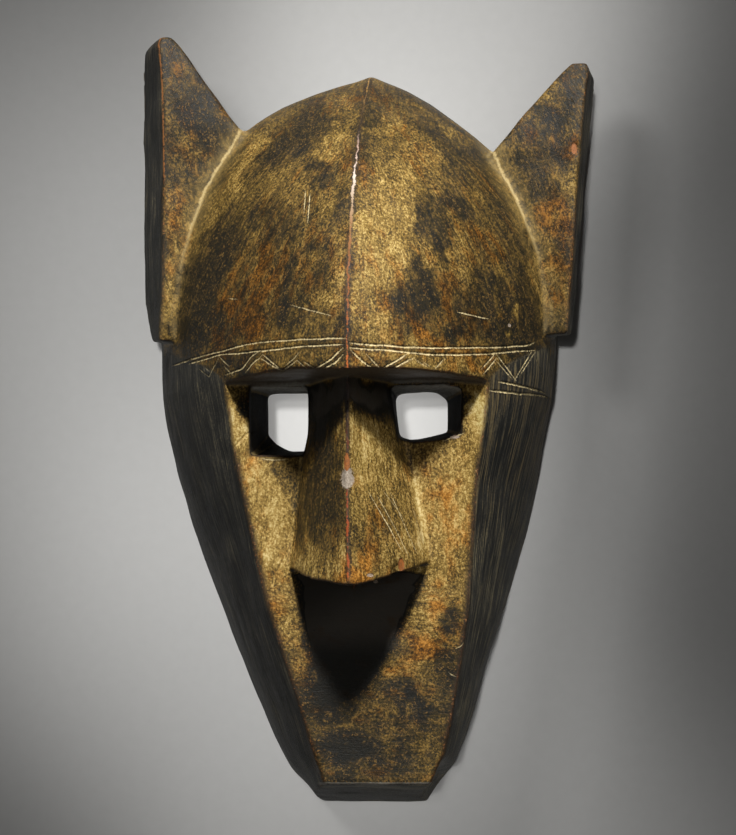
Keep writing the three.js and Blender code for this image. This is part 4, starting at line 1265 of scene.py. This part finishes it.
def cuts_and_chips(colour):
    """Pale incised lines with painted shade along them, bare spots, and how much rougher the wood is in
    them.
    """
    mark = step(cut + speck * 2.0 + fleck * 0.6, 0.34, 0.72) * white
    # along each line, a grey darkening as painted shade in the groove, under its pale mark
    colour = tinted(step(cut, -0.9, -0.1) * 0.5 * white, colour, (120, 116, 104))
    colour = mix(mark * (0.82 + fleck * 2.0).clip(), colour, (222, 201, 150))
    chipped = step(bare + speck * 1.3 + fleck * 0.6, 0.02, 0.16)
    inner = mix(red, (166, 153, 136), (150, 88, 38))
    inner = mix(step(speck + stroke * 0.5, -0.16, 0.2) * 0.6, inner, (84, 66, 50))
    return mix(chipped, colour, inner), mark * 0.2 + chipped * 0.2


def wood_material():
    colour, light = patina()
    for layer in (dark_walls, hollow_and_brow, worn_arrises, pale_valleys, keel_line):
        colour = layer(colour)
    colour, rougher = cuts_and_chips(colour)
    relief = fleck * 0.5 + fibre * 0.3 + speck * 0.5 + stroke * 0.5
    bump = wood.add("ShaderNodeBump", {"Strength": 0.8, "Distance": 0.0005, "Height": relief})
    rough = step(light, -0.6, 1.0, "LINEAR") * 0.12 + 0.5 + speck * 0.25 + fleck * 0.15 + rougher
    shader = wood.add("ShaderNodeBsdfPrincipled", {
        "Base Color": colour, "Roughness": rough + wall * 0.1 + eye * 0.3, "Normal": bump.outputs[0],
        "Specular IOR Level": 0.2})
    wood.add("ShaderNodeOutputMaterial", {"Surface": shader.outputs[0]})
    return wood.material


mask.data.materials.append(wood_material())


# Floor, light and camera.
FLOOR_HALF = 3.0
POOL_LIGHT_HEIGHT = 2.2


def floor_material():
    pale = Graph("pale_floor")
    speck = pale.noise(pale.mm, (1, 1, 1), (0, 0, 0), 0.15, 3, 0.55) + 0.5
    colour = pale.mix(speck, (206, 205, 202), (212, 211, 208))
    shader = pale.add("ShaderNodeBsdfPrincipled", {
        "Base Color": colour, "Roughness": 0.9, "Specular IOR Level": 0.1})
    pale.add("ShaderNodeOutputMaterial", {"Surface": shader.outputs[0]})
    return pale.material


def make_floor():
    mesh = bpy.data.meshes.new("floor")
    s = FLOOR_HALF
    mesh.from_pydata([(-s, -s, 0), (s, -s, 0), (s, s, 0), (-s, s, 0)], [], [(0, 1, 2, 3)])
    mesh.materials.append(floor_material())
    floor = add_thing("floor", mesh)
    return floor


def aim(thing, towards):
    back = (thing.location - Vector(towards)).normalized()
    right = Vector((0, 1, 0)).cross(back).normalized()
    up = back.cross(right)
    thing.rotation_euler = Matrix((right, up, back)).transposed().to_euler()


def add_light(name, kind, place, power, only, **settings):
    """A light that falls on one thing alone."""
    light = bpy.data.lights.new(name, kind)
    light.energy = power
    for key, value in settings.items():
        setattr(light, key, value)
    thing = add_thing(name, light)
    thing.location = place
    lit = bpy.data.collections.new(name + "_lights")
    lit.objects.link(only)
    thing.light_linking.receiver_collection = lit
    return thing


def area_light(name, place, towards, size, power, only):
    """A soft rectangular light."""
    thing = add_light(name, "AREA", place, power, only, shape="RECTANGLE", size=size[0], size_y=size[1])
    thing.visible_camera = False
    aim(thing, towards)


def pool_light(name, middle, radius, power, only):
    """A round pool of light with a soft edge, shone straight down."""
    place = Vector(middle) + Vector((0, 0, POOL_LIGHT_HEIGHT))
    angle = 2 * math.atan(radius / POOL_LIGHT_HEIGHT)
    add_light(name, "SPOT", place, power, only, spot_blend=1.0, shadow_soft_size=0.05, spot_size=angle)


floor = make_floor()
area_light("key", (0.15, 2.08, 2.18), (0, 0, 0.06), (0.34, 0.34), 164, only=mask)
area_light("side_right", (1.3, 0.5, 1.3), (0, 0, 0.08), (0.7, 0.7), 6.5, only=mask)
area_light("side_left", (-1.5, 0.2, 0.9), (0, 0, 0.08), (0.9, 0.9), 2.6, only=mask)
area_light("low_fill", (0.0, -1.1, 0.42), (0, 0, 0.08), (0.6, 0.6), 1.7, only=mask)
area_light("floor_even", (-0.9, 0.9, 1.7), (0, 0, 0), (0.5, 0.5), 6.2, only=floor)
pool_light("floor_left", (-0.08, 0.04, 0), 0.30, 67, only=floor)
pool_light("floor_top", (0.04, 0.24, 0), 0.16, 109, only=floor)
pool_light("floor_low", (-0.04, -0.12, 0), 0.22, 45, only=floor)
pool_light("floor_chin", (0.04, -0.28, 0), 0.22, 41, only=floor)
pool_light("floor_middle", (-0.04, 0.04, 0), 0.22, 30, only=floor)
area_light("behind_eyes", (-0.008, 0.004, 0.045), (-0.008, 0.004, 0.0), (0.13, 0.07), 0.03, only=floor)

world = bpy.data.worlds.new("studio")
world.use_nodes = True
world.node_tree.nodes["Background"].inputs[0].default_value = (0.5, 0.5, 0.5, 1)
world.node_tree.nodes["Background"].inputs[1].default_value = 0.045
bpy.context.scene.world = world

YAW, PITCH, DISTANCE = math.radians(3.0), math.radians(6.3), 1.9
TARGET = Vector((0.0009, -0.00245, 0.06))
IMAGE_HEIGHT, MM_PER_PIXEL = 835, 0.5476
direction = Vector((math.sin(YAW) * math.cos(PITCH), -math.sin(PITCH), math.cos(YAW) * math.cos(PITCH)))
lens = bpy.data.cameras.new("camera")
lens.sensor_fit = "AUTO"
lens.sensor_width = 36.0
lens.lens = 36.0 * DISTANCE / (IMAGE_HEIGHT * MM_PER_PIXEL * MM)
lens.clip_end = 20
camera = add_thing("camera", lens)
camera.location = TARGET + direction * DISTANCE
aim(camera, TARGET)
bpy.context.scene.camera = camera
bpy.context.scene.view_settings.view_transform = "Standard"
